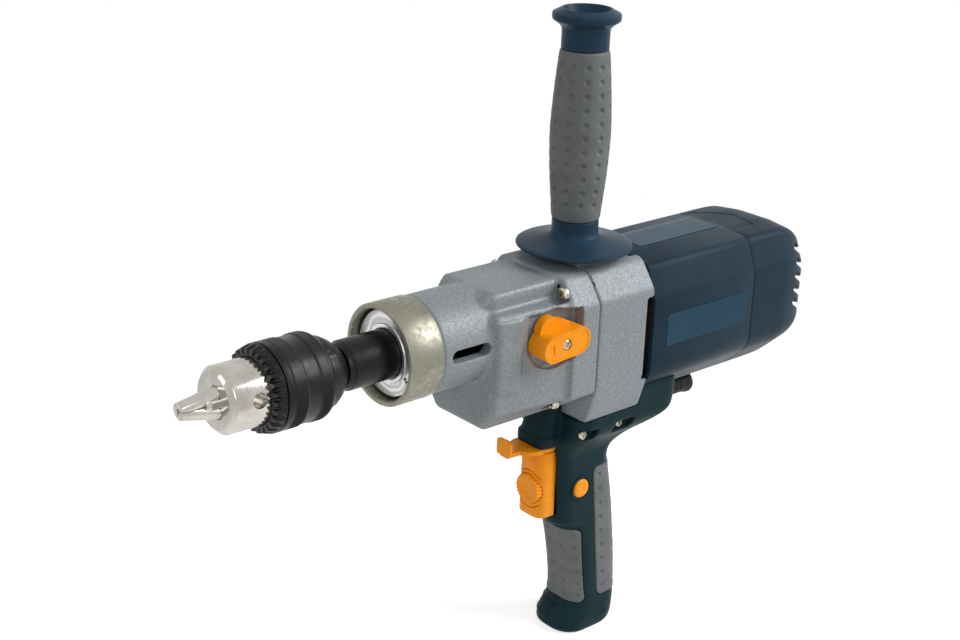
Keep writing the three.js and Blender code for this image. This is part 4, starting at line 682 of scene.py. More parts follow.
def column(point):
    """Which of the sleeve's columns a point is in."""
    angle = math.atan2(point.z - ORIGIN.z, point.y - ORIGIN.y)
    return round(angle / (2 * math.pi) * SLEEVE_STEPS) % SLEEVE_STEPS


def chuck_sleeve():
    """The blackened sleeve with the ring of teeth for the key and two knurled bands."""
    piece = turned("chuck_sleeve_look", sleeve_profile(), steps=SLEEVE_STEPS, hollow=True)
    per_tooth = SLEEVE_STEPS // TEETH
    for x, radius, share in TOOTH_STATIONS:
        for k, part in enumerate(TOOTH_GAP):
            depth = sizes().tooth_depth / MM * share * part

            def in_gap(point, here=at(x, 0, 0).x, k=k, radius=radius):
                on_station = abs(point.x - here) < TINY and away(point) > mm(radius - 0.2)
                return on_station and column(point) % per_tooth == k + 2

            pressed_in(piece, in_gap, (radius - depth) / radius)

    def low_diamond(point):
        if away(point) < mm(SLEEVE_RADIUS - 0.05):
            return False
        for start, rows in KNURL_BANDS:
            row = (point.x - at(start, 0, 0).x) / mm(KNURL)
            if abs(row - round(row)) < 0.01 and 1 <= round(row) <= rows:
                return (round(row) + column(point)) % 2 == 0
        return False

    pressed_in(piece, low_diamond, 1 - sizes().knurl_depth / mm(SLEEVE_RADIUS))
    return smooth(piece, math.radians(24))


def spindle():
    """The blackened spindle head, its stub and the shaft behind it."""
    profile = [
        (-50, 6.2), (-48.6, 7.6), (-27.4, 7.6), (-27.4, 11.4), (-27.1, 11.9), (-24.8, 13.3), (-24.5, 13.3),
        (-24.3, 13.65), (-23.9, 13.8), (10.1, 13.8), (10.1, 9.7), (22.7, 9.7), (24.1, 8.0), (117.1, 8.0),
        (117.4, 7.7), (123.8, 7.7), (125.2, 6.6),
    ]
    return smooth(turned("spindle_look", profile))


def retainer():
    """The turned plate that holds the front bearing, with its two pin holes."""
    profile = [(4.6, 14.3), (4.6, 16.4), (5.2, 16.8), (5.2, 23.6), (5.6, 24.2), (9.6, 24.4), (9.6, 14.3)]
    piece = turned("bearing_retainer_look", profile, hollow=True)
    hole = rod("pin_hole", "X", 2.6, 7.6, 1.7, (0, 0, -19.8), 32)
    combine(piece, around(hole, 2, math.pi, -math.pi / 3))
    return smooth(eased(piece, 0.2))


def collar():
    """The bare clamp collar, with its lips broken by the file."""
    profile = [
        (0, 25.9), (0, 27.7), (0.25, 28.2), (0.8, 28.5), (21.9, 28.5), (22.5, 28.3), (22.8, 27.9),
        (22.8, 25.5), (0.5, 25.5),
    ]
    return smooth(turned("clamp_collar_look", profile, hollow=True, steps=128))


class DRILL_OT_chuck(bpy.types.Operator):
    """Model the chuck: nose, jaws and knurled sleeve"""

    bl_idname = "drill.chuck"
    bl_label = "Chuck"

    def execute(self, context):
        steel = ground_steel()
        oxide = black_oxide()
        nose, back = chuck_body()
        dress(nose, steel, "spindle", ["chuck_body"])
        dress(back, oxide, "spindle")
        for k in range(3):
            dress(jaw(k), steel, f"jaw_{k + 1}", [f"chuck_jaw_{k + 1}"])
        dress(chuck_sleeve(), oxide, "chuck_sleeve", ["chuck_sleeve"])
        return {"FINISHED"}


class DRILL_OT_neck(bpy.types.Operator):
    """Model the spindle's head, the bearing retainer and the clamp collar"""

    bl_idname = "drill.neck"
    bl_label = "Spindle and collar"

    def execute(self, context):
        dress(spindle(), bpy.data.materials["black_oxide_steel"], "spindle", ["spindle"])
        dress(retainer(), faced_aluminium(), ROOT, ["bearing_retainer"])
        dress(collar(), bare_aluminium(), ROOT, ["clamp_collar"])
        return {"FINISHED"}


# Gearbox

BOX_X = (56, 59, 110)
BOX_BOTTOM = (20, -53)
BOX_SIDE_Z = -41
LEDGE_Z = 17.2
RIDGE = (22.5, 27.8)
FLANGE_X = 108
PARTING_X = 128
PARTING_GAP = 0.15
SPIGOT = (9.9, FLANGE_X, 25.2)
BEFORE_NOSE = (-2, 23.15, 42)
CASE_REAR_X = 171.8
CASE_HALF = 38
CAST_WALL = 3.6
PILLAR = [(57.2, -31.2, 4.5), (76, -33.2, 3.5), (76, -20, 0.3), (57.2, -20, 0.3)]
PILLAR_Z = (-29, 14.2)
COUNTER = (0, 12.519, -27.263)
ARMATURE = (0, 0, -19)
HANDLE_X = 141
HANDLE_FOOT = (HANDLE_X, 0, 0)
BOSS_RADIUS = 21
BOSS_TOP_Z = 34.3
SELECTOR = (97, 0, -2.6)
POCKET_Y = -29.4
POCKET_RADIUS = 17.9
SCREW_PLACES = ((-28.6, 20.6), (28.6, 20.6), (-25.2, -46.4), (25.2, -46.4))
FILLET_VOXEL = 0.95 * MM
FILLET_ROUNDS = 5
POCKET_BACK_Y = -26.8
SLOT_X = (28.8, 55.8)
SLOT_HALF = 3.8
POST_HALF = 5
REAR_ROOM_X = 143
AIR_SLOT_X = (166.2, CASE_REAR_X + 2)
FRONT_BORES = (
    ("bearing_bore", -2, 22.7, 21.3, (0, 0, 0), 96),
    ("nose_bore", 24.4, BOX_X[1] + CAST_WALL + 2, 20.4, (0, 0, 0), 96),
    ("spindle_bore", 0, BOX_X[1] + CAST_WALL + 2, 12),
    ("counter_seat", 62, BOX_X[1] + CAST_WALL + 2, 8.9, COUNTER),
)
REAR_BORES = (
    ("spindle_seat", 117.1, 125.7, 12.8, (0, 0, 0), 64),
    ("counter_bore", 120.4, 128.4, 8.9, COUNTER),
    ("armature_seat", 130.7, 145, 11.3, ARMATURE),
    ("armature_bore", 116.4, 144, 5.8, ARMATURE),
)


def box_half(x):
    """Half the width of the gear housing's box, which grows towards the motor."""
    return 28.8 + 8.4 * (x - 56) / 72


def box_outline(x, inset=0.0):
    """The box's section at a place along it."""
    half = box_half(x) - inset
    corner = max(3 - inset, 0.3)
    return rounded(mirrored([
        (BOX_BOTTOM[0] - inset / 2, BOX_BOTTOM[1] + inset, corner),
        (half, BOX_SIDE_Z + inset / 2, 3), (half, LEDGE_Z - inset, corner),
    ]))


def ridge_outline(inset=0.0):
    """The section of the raised ridge on the box."""
    half, top = RIDGE
    return rounded(mirrored([(half - inset, 0, 0.3), (half - inset, top - inset, 3.5)]))


def case_corners(inset=0.0):
    """The corners of the rear case's section."""
    return mirrored([
        (30.8 - inset / 2, -63.8 + inset, 3), (CASE_HALF - inset, -40, 8), (CASE_HALF - inset, 13, 8),
        (26 - inset / 2, 29.2 - inset, 8),
    ])


def flange_corners(inset=0.0):
    """The corners of the flange's section, which ends above the foot of the rear case."""
    return mirrored([
        (20 - inset / 2, -53 + inset, 3), (CASE_HALF - inset, -41 + inset / 2, 3), (CASE_HALF - inset, 13, 8),
        (26 - inset / 2, 29.2 - inset, 8),
    ])


def bores(rows):
    """Rods along the drill from rows of (name, start, end, radius) and, where they differ, foot and steps."""
    return [rod(name, "X", *row) for name, *row in rows]


def at_screws(name, start, end, radius):
    """Rods of one kind at the places of the gearbox's screws."""
    return [rod(name, "X", start, end, radius, (0, y, z)) for y, z in SCREW_PLACES]


def gear_room():
    """The rooms and bores inside the front casting, as one cutter."""
    ends = (BOX_X[1] + CAST_WALL, FLANGE_X)
    room = lofted("room", "X", [(x, box_outline(x, CAST_WALL)) for x in ends])
    return combine(room, [
        lofted("ridge_room", "X", [(x, ridge_outline(CAST_WALL)) for x in ends]),
        rod("gears", "X", 73.7, PARTING_X + 2, 24.35, steps=96),
        prism("mouth", flange_corners(CAST_WALL), "X", FLANGE_X - 0.3, PARTING_X + 2),
        *bores(FRONT_BORES),
    ], "UNION")


def selector_seat():
    """The recess of the selector knob, open upwards, with the hole for its shaft."""
    x, _, z = SELECTOR
    seat = rod("recess", "Y", -CASE_HALF - 2, POCKET_Y, POCKET_RADIUS, (x, 0, z), 96)
    return combine(seat, [
        block("above", (x - POCKET_RADIUS, x + POCKET_RADIUS), (-CASE_HALF - 2, POCKET_Y), (z, 14)),
        rod("shaft_hole", "Y", POCKET_Y - 2, 0, 5.3, (x, 0, z)),
    ], "UNION")


def front_casting():
    """The front gear housing: nose, box, ridge, pillar and flange with a mould's fillets, then its bores.

    The spigot is made anew after the fillets, so that no cutter's face lies on the rebuilt skin.
    """
    front, straight, rear = BOX_X
    piece = lofted("gearbox_front_look", "X", [
        (front, box_outline(front, 3)), (straight, box_outline(straight)), (rear, box_outline(rear)),
    ])
    flange = (FLANGE_X, PARTING_X - PARTING_GAP)
    ridge = [(front, ridge_outline(3)), (front + 6, ridge_outline()), (rear, ridge_outline())]
    combine(piece, [
        lofted("ridge", "X", ridge),
        prism("flange", flange_corners(), "X", *flange),
        prism("pillar", PILLAR, "Z", *PILLAR_Z),
        turned("nose", [(23.1, 27.2), (23.7, 27.8), (FLANGE_X, 27.8)], steps=128),
        rod("spigot", "X", *SPIGOT, steps=128),
    ], "UNION")
    cast(piece, FILLET_VOXEL, FILLET_ROUNDS)
    combine(piece, [rod("before_nose", "X", *BEFORE_NOSE, steps=128)])
    combine(piece, [rod("spigot", "X", *SPIGOT, steps=128)], "UNION")
    half = POST_HALF
    posts = [
        prism("post", rectangle((y - half, y + half), (z - half, z + half), half - 0.1), "X", *flange)
        for y, z in SCREW_PLACES
    ]
    x, _, z = SELECTOR
    reach = POCKET_RADIUS + CAST_WALL
    back = rod("pocket_back", "Y", -CASE_HALF - 2, POCKET_BACK_Y, reach, (x, 0, z), 96)
    upper = block("pocket_upper", (x - reach, x + reach), (-CASE_HALF - 2, POCKET_BACK_Y), (z, LEDGE_Z))
    room = combine(gear_room(), [*posts, back, upper])
    slot = prism("slot", rectangle(SLOT_X, (-SLOT_HALF, SLOT_HALF), SLOT_HALF - 0.1), "Y", -31, -18.4)
    screws = at_screws("screw_hole", 98, FLANGE_X, 5.4)
    shanks = at_screws("shank_hole", FLANGE_X - 1, PARTING_X + 2, 2.2)
    cutter = combine(room, [slot, selector_seat(), *screws, *shanks], "UNION")
    combine(piece, [cutter])
    return cast(piece, sizes().cast_voxel, 2)


def rear_casting():
    """The rear gear case: shell with the handle's boss, inner web and the cooling air's slots."""
    front = PARTING_X + PARTING_GAP
    piece = prism("gearbox_rear_look", case_corners(), "X", front, CASE_REAR_X)
    boss = rod("boss", "Z", 0, BOSS_TOP_Z, BOSS_RADIUS, HANDLE_FOOT, 96)
    behind = block("behind", (front, CASE_REAR_X), (-CASE_HALF, CASE_HALF), (0, BOSS_TOP_Z + 2))
    combine(piece, [combine(boss, [behind], "INTERSECT")], "UNION")
    cast(piece, FILLET_VOXEL, 3)
    combine(piece, [block("face", (front - 9, front), (-50, 50), (-80, 50))])
    combine(piece, [
        prism("plug", flange_corners(CAST_WALL + 0.3), "X", 122.4, 131.6),
        rod("counter_boss", "X", 121.8, REAR_ROOM_X, 12.2, COUNTER),
        rod("bearing_boss", "X", 117.4, REAR_ROOM_X, 14.3),
    ], "UNION")
    room = prism("fan_room", case_corners(CAST_WALL), "X", REAR_ROOM_X, CASE_REAR_X + 2)
    combine(room, [rod("boss_inside", "Z", 22, 36, BOSS_RADIUS, HANDLE_FOOT, 64)])
    combine(room, [
        *bores(REAR_BORES),
        rod("stud_hole", "Z", 12.7, 36.3, 6.1, HANDLE_FOOT),
        block("side_slots", AIR_SLOT_X, (-50, 50), (-44, 8)),
        block("top_slot", AIR_SLOT_X, (-21, 21), (0, 40)),
        *at_screws("screw", 120.4, 136, 2.2),
        *at_screws("post_clear", 120.4, PARTING_X, 5.7),
    ], "UNION")
    combine(piece, [room])
    return cast(piece, sizes().cast_voxel, 2)


def cross_head(name, axis, place, way, radius, height, shank, end, foot, turn=0.0):
    """A screw with a domed head and a cross recess. The head stands from a place, away along way."""
    dome = [(1, 0.45), (0.93, 0.72), (0.7, 0.92), (0.35, 1)]
    profile = [(place + way * height * up, radius * out) for up, out in dome]
    piece = turned(name, profile + [(place, radius), (place, shank), (end, shank)], axis, foot, 40)
    arm = radius * 0.62
    thin = radius * 0.16
    top = place + way * height
    deep = place + way * height * 0.3
    span = (min(top + way, deep), max(top + way, deep))
    x, y, z = foot
    for wide, high in ((arm, thin), (thin, arm)):
        box = {
            "X": (span, (y - wide, y + wide), (z - high, z + high)),
            "Y": ((x - wide, x + wide), span, (z - high, z + high)),
        }[axis]
        combine(piece, [spun(block("cross", *box, axis=axis), turn, axis, foot)])
    return smooth(eased(piece, 0.12, 1))


# Selector

KNOB_FACE_Y = -44.6
KNOB_BASE_Y = (-35.9, -30.9)
KNOB_TILT = math.radians(4.3)
KNOB_RADIUS = 12.6
KNOB_LOBE = (-5.8, 7.4, 7.7)
KNOB_POINTER = ((-3.2, -9.5), (3.2, -9.5), (0, -13.6))


def knob_bar(name, edge, half, start, end):
    """A round-ended bar across the knob."""
    x, _, z = SELECTOR
    corners = rectangle((x - edge, x + edge), (z - half, z + half), edge - 0.02)
    return prism(name, corners, "Y", start, end, 12)


def selector_knob():
    """The gear selector: a lobed base and a thick bar whose face has a fine raised edge and a pointer."""
    x, _, z = SELECTOR
    foot = (x, 0, z)
    front, rear = KNOB_BASE_Y
    lean = math.pi / 2 - KNOB_TILT
    piece = rod("selector_knob_look", "Y", front, rear, KNOB_RADIUS, foot, 96)
    aside, above, lobe = KNOB_LOBE
    combine(piece, [rod("lobe", "Y", front - 0.4, rear, lobe, (x + aside, 0, z + above), 64)], "UNION")
    combine(piece, [spun(knob_bar("bar", 8.0, 17.3, KNOB_FACE_Y, rear), lean, "Y", foot)], "UNION")
    eased(piece, 0.55, 3)
    inner = knob_bar("face_recess", 6.7, 16, KNOB_FACE_Y - 1, KNOB_FACE_Y + 0.35)
    corners = [(x + u, z + v, 0.3) for u, v in KNOB_POINTER]
    pointer = prism("pointer", corners, "Y", KNOB_FACE_Y - 1, KNOB_FACE_Y + 0.8, 2)
    return smooth(combine(piece, [
        spun(inner, lean, "Y", foot),
        spun(pointer, lean, "Y", foot),
        rod("screw_seat", "Y", KNOB_FACE_Y - 2, KNOB_FACE_Y + 12.3, 3.3, foot),
        rod("screw_through", "Y", KNOB_FACE_Y, rear + 2, 1.8, foot),
    ]))


# Motor

HOUSING_X = (172.3, 259.85)
HOUSING_WALL = 3
CAP_X = (260.15, 328)
CAP_MIDDLE_Z = -31
CAP_ROWS = [
    (0, 1, 1, 1), (0.4, 1, 0.995, 0.995), (0.57, 0.97, 0.97, 0.96), (0.7, 0.9, 0.925, 0.9),
    (0.81, 0.8, 0.845, 0.81), (0.89, 0.67, 0.735, 0.69), (0.95, 0.5, 0.58, 0.54), (0.985, 0.3, 0.42, 0.37),
    (1, 0.1, 0.22, 0.19),
]
VENT_ZS = [5 - 9 * k for k in range(5)]
VENT_X = (303, 316)
VENT_HALF = 1.7
VENT_SLOPE = 0.52
FIELD = [(258, 24, 1), (258, -19, 1), (280, -19, 1), (284, 2, 3), (268, 24, 1)]
LABELS = {
    "side_label_look": ((184, 254), (-45, -30), (-26, -6), "Y"),
    "top_label_look": ((188, 256), (-9, 16), (20, 40), "Z"),
}


def housing_outline(inset=0.0, steps=8):
    """The motor housing's section, which the rear cap carries on."""
    def less(radius):
        return max(radius - inset, 0.3)

    return rounded(mirrored([
        (16 - inset / 2, -64.6 + inset, less(16)), (38.3 - inset, -44 + inset / 3, less(16)),
        (38.3 - inset, 5 - inset / 3, less(14)), (30.5 - inset / 2, 25 - inset, less(6)),
        (12, 27.2 - inset, less(14)),
    ]), steps)


def housing_part(name, start, end, inset=0.0):
    """A straight length of the motor housing's form."""
    return lofted(name, "X", [(x, housing_outline(inset)) for x in (start, end)])


def motor_housing():
    """The hollow housing with the rear bearing's spider."""
    front, rear = HOUSING_X
    piece = housing_part("motor_housing_look", front, rear)
    combine(piece, [housing_part("inside", front - 2, rear - 3.85, HOUSING_WALL)])
    combine(piece, [rod("bearing_boss", "X", 256, 269, 12.5, ARMATURE)], "UNION")
    _, y, z = ARMATURE
    angles = [math.pi / 4 + k * math.pi / 2 for k in range(4)]
    combine(piece, [
        *(rod("window", "X", 252, 262, 9, (0, y + 24 * math.cos(a), z + 24 * math.sin(a))) for a in angles),
        rod("seat", "X", 260.7, 271, 9.8, ARMATURE),
        rod("through", "X", 252, 269, 4.8, ARMATURE),
    ])
    return smooth(eased(piece, 0.5))


def label(name):
    """A bare film on the housing: a patch of its skin, a hair's breadth proud."""
    x, y, z, axis = LABELS[name]
    piece = housing_part(name, *HOUSING_X, -0.3)
    combine(piece, [block("patch", x, y, z, 1.2, axis)], "INTERSECT")
    combine(piece, [housing_part("under", HOUSING_X[0] - 5, HOUSING_X[1] + 5, -0.01)])
    return smooth(piece)


def cap_rows(inset, start, end):
    """The rounded end of the motor, as rows along it."""
    rows = []
    for along, above, below, wide in curved(CAP_ROWS, 3):
        points = []
        for y, z in housing_outline(inset):
            rise = z - CAP_MIDDLE_Z
            blend = min(max(0.5 + rise / 12, 0), 1)
            points.append((y * wide, CAP_MIDDLE_Z + rise * (above * blend + below * (1 - blend))))
        rows.append((start + along * (end - start), points))
    return rows


def rear_cap():
    """The rear cap: a hollow dome with five louvres on each side and a shallow field on its top."""
    start, end = CAP_X
    piece = lofted("rear_cap_look", "X", cap_rows(0, start, end))
    inside = lofted("inside", "X", cap_rows(HOUSING_WALL, start, end - HOUSING_WALL))
    combine(inside, [housing_part("mouth", start - 2, start + 2, HOUSING_WALL)], "UNION")
    front, middle = VENT_X
    vents = []
    half = VENT_HALF
    for z in VENT_ZS:
        for side in ((-42, -4), (4, 42)):
            vent = block("vent", (front, end + 12), side, (z - half, z + half), half - 0.1, "Y")
            vents.append(spun(vent, VENT_SLOPE, "Y", (middle, 0, z)))
    field = prism("field", FIELD, "Z", 15, 34, 4)
    combine(field, [lofted("under", "X", cap_rows(0.45, start - 1, end))])
    combine(piece, [inside, together("vents", vents), field])
    return cast(piece, sizes().moulded_voxel, 2)


# Side handle

HANDLE_PROFILE = [
    (34.6, 31.4), (34.75, 32.5), (35.3, 33.4), (36.0, 33.8), (36.7, 33.5), (37.15, 32.7), (37.5, 31.4),
    (38.0, 29.0), (38.9, 24.8), (39.9, 20.8), (40.7, 18.0), (41.4, 16.2), (42.3, 14.9), (43.4, 14.0),
    (44.6, 13.6), (46.0, 13.5), (51.0, 13.5), (51.5, 13.1), (51.5, 11.2), (149.3, 11.2), (149.3, 13.0),
    (149.7, 13.5), (159.4, 13.5), (160.8, 13.8), (162.1, 14.7), (163.4, 16.2), (164.4, 17.6), (165.0, 18.6),
    (165.5, 19.05), (166.1, 19.2), (168.3, 19.2), (168.9, 19.0), (169.3, 18.5), (170.2, 16.6), (171.2, 14.9),
    (171.5, 14.2), (171.4, 13.7), (170.9, 13.3), (169.8, 12.9), (168.4, 12.2), (166.3, 10.8), (163, 9.4),
    (125.5, 9.4), (125.5, 1.0), (62.3, 1.0), (62.3, 6.1), (34.6, 6.1),
]
RUBBER_Z = (51.8, 149)
RUBBER_SHARES = (0, 0.1, 0.24, 0.38, 0.53, 0.68, 0.8, 0.9, 1)
RUBBER_SWELL = (0, 0.25, 0.63, 0.88, 1, 0.8, 0.55, 0.3, 0)
RUBBER_RADII = (14, 17.3)
DENT_OUT = 0.35
DENT_ROWS = 11
DENT_COLUMNS = 11
DENT_FIRST = math.radians(235)
DENT_FOOT_Z = 62
DENT_STEP_Z = 7.9


def side_handle():
    """The handle's core: concave guard disc, neck, flared end and its hollow."""
    piece = turned("side_handle_look", HANDLE_PROFILE, "Z", HANDLE_FOOT, 128, hollow=True)
    combine(piece, [rod("plug", "Z", 62.3, 125.5, 3, HANDLE_FOOT, 24)], "UNION")
    return smooth(piece, math.radians(28))


def rubber_rows():
    """The heights and radii of the handle's rubber."""
    low, high = RUBBER_Z
    small, large = RUBBER_RADII
    rows = [(low + share * (high - low), small + swell * (large - small))
            for share, swell in zip(RUBBER_SHARES, RUBBER_SWELL)]
    return curved(rows, 3)


def dented(piece, spots, radius):
    """Presses round dents into a piece at spots of (place, outward way)."""
    take()
    bpy.ops.mesh.primitive_uv_sphere_add(segments=18, ring_count=10, radius=radius)
    ball = named("dent")
    balls = []
    for place, way in spots:
        other = copy(ball)
        other.data.transform(Matrix.Translation(place + way * (radius * DENT_OUT)))
        balls.append(other)
    bpy.data.objects.remove(ball)
    return combine(piece, [together("dents", balls)])


def handle_rubber():
    """The rubber sleeve: a soft barrel with rows of round dents and rounded ends."""
    rows = rubber_rows()
    (low, start), (high, end) = rows[0], rows[-1]
    profile = [
        (low, start - 1.2), (low + 0.3, start - 0.4), (low + 1.2, start),
        *(row for row in rows if low + 2 < row[0] < high - 2),
        (high - 1.2, end), (high - 0.3, end - 0.4), (high, end - 1.2), (high, 11.5), (low, 11.5),
    ]
    piece = turned("side_handle_rubber_look", profile, "Z", HANDLE_FOOT, 128, hollow=True)
    spots = []
    for row in range(DENT_ROWS):
        z = DENT_FOOT_Z + DENT_STEP_Z * row
        below, above = next((a, b) for a, b in zip(rows, rows[1:]) if z <= b[0])
        radius = below[1] + (above[1] - below[1]) * (z - below[0]) / (above[0] - below[0])
        for k in range(DENT_COLUMNS):
            angle = DENT_FIRST + k * 2 * math.pi / DENT_COLUMNS
            way = Vector((math.cos(angle), math.sin(angle), 0))
            spots.append((at(HANDLE_X, 0, z) + way * mm(radius), way))
    dented(piece, spots, sizes().dent_radius)
    return cast(piece, sizes().rubber_voxel, 1)


# Grip

GRIP_TOP_Z = -50
GRIP_HEIGHT = 168.2
NECK_FRONT_X = 122.5
NECK_SPAN = 47.7
GRIP_HALF = 17
GRIP_CORNER = 12
GRIP_ROWS = [
    (0, 0.094, 1.82, 1.824, 0.83), (0.095, 0.094, 1.8, 1.824, 0.83), (0.136, 0.094, 1.74, 1.8, 0.83),
    (0.166, 0.063, 1.58, 1.63, 1), (0.201, 0.03, 1.3, 1.29, 1.04), (0.243, 0, 1.085, 1.035, 1),
    (0.284, 0.01, 0.995, 1, 1), (0.343, 0.02, 1.01, 1, 1), (0.45, 0.05, 1.085, 1, 1),
    (0.521, 0.1, 1.128, 1, 1), (0.556, 0.28, 1.15, 1, 1.04), (0.692, 0.4, 1.217, 1, 1.04),
    (0.822, 0.465, 1.257, 1, 1.04), (0.893, 0.45, 1.272, 1.02, 1.04), (0.935, 0.33, 1.276, 1.06, 1.2),
    (0.964, 0.28, 1.27, 1.08, 1.3), (0.985, 0.28, 1.235, 1.06, 1.25), (1, 0.34, 1.16, 0.97, 1.1),
]
SEAM = 0.15
SCREW_XS = (131.5, 161)
SCREW_Z = -73.4
SCREW_SEAT_Y = -25.4
BUTTON = (142, 0, -115.2)
DIAL_Z = -113.6
DIAL_FOOT = (0, 0, DIAL_Z)
DIAL_NOTCHES = 24
LEVER_X = 121
LEVER_FOOT = (LEVER_X, 0, 0)
GLAND_FOOT = (0, 0, -77)
PAD_FRONT = [(112, -144.6), (145, -144.6), (152.6, -198), (112, -198)]
PAD_REAR = [(151.6, -104.4), (208, -104.4), (208, -196), (162, -196)]
PAD_EDGE = 4.4
PAD_PROUD = 0.5
PAD_DEPTH = 2.4
CLEARANCE = 0.3
VISOR_REAR_X = 134.4
VISOR_SCOOP = (
    (-79, 113.2, 12.2), (-76.5, 113.5, 12.1), (-72, 115, 11.9), (-66, 117.6, 11.7), (-61, 119.2, 11.6),
    (GRIP_TOP_Z, 119.6, 11.6),
)
FOOT_RIBS = ((-203.6, 0.45), (-210.5, 0.5))
SWITCH_ROOM = ((134.0, 165.3), (-10.3, 10.3), (-132.3, -91.7))
TRIGGER_ROOM = ((93, 135.4), (-11.3, 11.3), (-131.4, -88.1))


def grip_sizes(down, front, back, wide, corner):
    """A row's height, front, back, half width and corner from its shares."""
    return (
        GRIP_TOP_Z - down * GRIP_HEIGHT, NECK_FRONT_X + front * NECK_SPAN, NECK_FRONT_X + back * NECK_SPAN,
        wide * GRIP_HALF, corner * GRIP_CORNER,
    )


def grip_row(z):
    """The grip's front, back, half width and corner at a height."""
    down = (GRIP_TOP_Z - z) / GRIP_HEIGHT
    rows = curved(GRIP_ROWS, 4)
    for upper, lower in zip(rows, rows[1:]):
        if down <= lower[0]:
            share = (down - upper[0]) / (lower[0] - upper[0])
            return grip_sizes(*(a + (b - a) * share for a, b in zip(upper, lower)))[1:]
    raise ValueError("the grip doesn't reach this height")


def grip_skin(name, grow=0.0, steps=8):
    """The grip's rounded body, or one larger or smaller by a length all round."""
    rows = []
    for row in reversed(curved(GRIP_ROWS, 4)):
        z, front, back, half, corner = grip_sizes(*row)
        corners = rectangle((front - grow, back + grow), (-(half + grow), half + grow), corner + grow)
        rows.append((z, rounded(corners, steps)))
    return lofted(name, "Z", rows)


def pad_region(name, corners, grow=0.0):
    """A pad's shape seen from the side, as a prism across the grip."""
    middle_x = sum(x for x, _ in corners) / 4
    middle_z = sum(z for _, z in corners) / 4
    grown = [
        (x + math.copysign(grow, x - middle_x), z + math.copysign(grow, z - middle_z), 4) for x, z in corners
    ]
    return prism(name, grown, "Y", -40, 40)


def pad_seat(corners):
    """The recess in the grip under a pad."""
    seat = pad_region("pad_seat", corners, CLEARANCE)
    return combine(seat, [grip_skin("under_pad", -PAD_DEPTH - CLEARANCE)])


def plan(front, half):
    """The visor's outline from above."""
    rear = VISOR_REAR_X
    return [(front, -half, 7), (rear, -half, 0.3), (rear, half, 0.3), (front, half, 7)]


def visor():
    """The visor over the lever: a rimmed edge, from which the scooped top slopes up to the gearbox."""
    piece = eased(prism("visor", plan(112, 13.2), "Z", -84, -77.4), 0.7)
    scoop = lofted("visor_slope", "Z", [(z, rounded(plan(front, half))) for z, front, half in VISOR_SCOOP])
    return combine(piece, [scoop], "UNION")


def grip_rooms():
    """Everything that is cut from the grip, as one cutter."""
    case = prism("over_case", case_corners(-CLEARANCE), "X", PARTING_X - CLEARANCE, CASE_REAR_X + CLEARANCE)
    over_motor = [(x, housing_outline(-CLEARANCE)) for x in (CASE_REAR_X, 260)]
    rooms = [
        prism("over_box", flange_corners(-CLEARANCE), "X", 56, PARTING_X),
        lofted("over_motor", "X", over_motor),
        block("case_front_left", (100, PARTING_X), (-50, -11.8), (-64.1, -40)),
        block("case_front_right", (100, PARTING_X), (11.8, 50), (-64.1, -40)),
        block("trigger_room", *TRIGGER_ROOM, 0.4, "X"),
        rod("lever_room", "Z", -87.2, -84, 11.9, LEVER_FOOT, 64),
        rod("lever_pin_room", "Z", -86, -77, 3.3, LEVER_FOOT),
        block("switch_room", *SWITCH_ROOM),
        rod("button_hole", "Y", -19, -10, 6.5, BUTTON, 64),
        rod("gland_seat", "X", 189.7, 210, 6.5, GLAND_FOOT),
        rod("gland_flange", "X", 189.7, 193.3, 9.3, GLAND_FOOT),
        pad_seat(PAD_FRONT), pad_seat(PAD_REAR),
    ]
    for x in SCREW_XS:
        low, high = SCREW_Z - 3.2, SCREW_Z + 3.2
        corners = [(x - 9.5, low, 1), (x + 6, low, 3), (x + 9.5, high, 1), (x - 6, high, 3)]
        rooms.append(prism("screw_pocket", corners, "Y", -33, SCREW_SEAT_Y))
        rooms.append(rod("screw_bore", "Y", -31, 12.3, 2, (x, 0, SCREW_Z)))
    return combine(case, rooms, "UNION")


def half_of(whole, name, side):
    """One half of the grip, cut along its middle."""
    piece = copy(whole)
    piece.name = name
    piece.data.name = name
    edit(piece)
    bpy.ops.mesh.select_all(action="SELECT")
    bpy.ops.mesh.bisect(
        plane_co=at(0, side * SEAM, 0), plane_no=(0, 1, 0), use_fill=True, clear_inner=side > 0,
        clear_outer=side < 0,
    )
    leave()
    return piece


def grip_halves():
    """The two halves of the grip, with the visor, the foot's two ridges and the rim round the button."""
    whole = eased(grip_skin("grip"), 0.8, 2, math.radians(50))
    ribs = []
    for z, grow in FOOT_RIBS:
        front, back, half, corner = grip_row(z)
        x = (front - grow, back - 12)
        y = half + grow
        corners = [(x[0], -half - grow, corner), (x[1], -half - grow, 2), (x[1], y, 2), (x[0], y, corner)]
        ribs.append(prism("foot_rib", corners, "Z", z - 0.6, z + 0.6))
    combine(whole, [visor(), *ribs], "UNION")
    combine(whole, [grip_rooms()])
    cast(whole, sizes().moulded_voxel, 2)
    rim = [(-17.6, 6.6), (-17.6, 8.1), (-16, 8.4), (-16, 6.6)]
    combine(whole, [turned("button_rim", rim, "Y", BUTTON, 64, hollow=True)], "UNION")
    halves = [half_of(whole, "grip_left_look", -1), half_of(whole, "grip_right_look", 1)]
    bpy.data.objects.remove(whole)
    return [smooth(half, math.radians(50)) for half in halves]


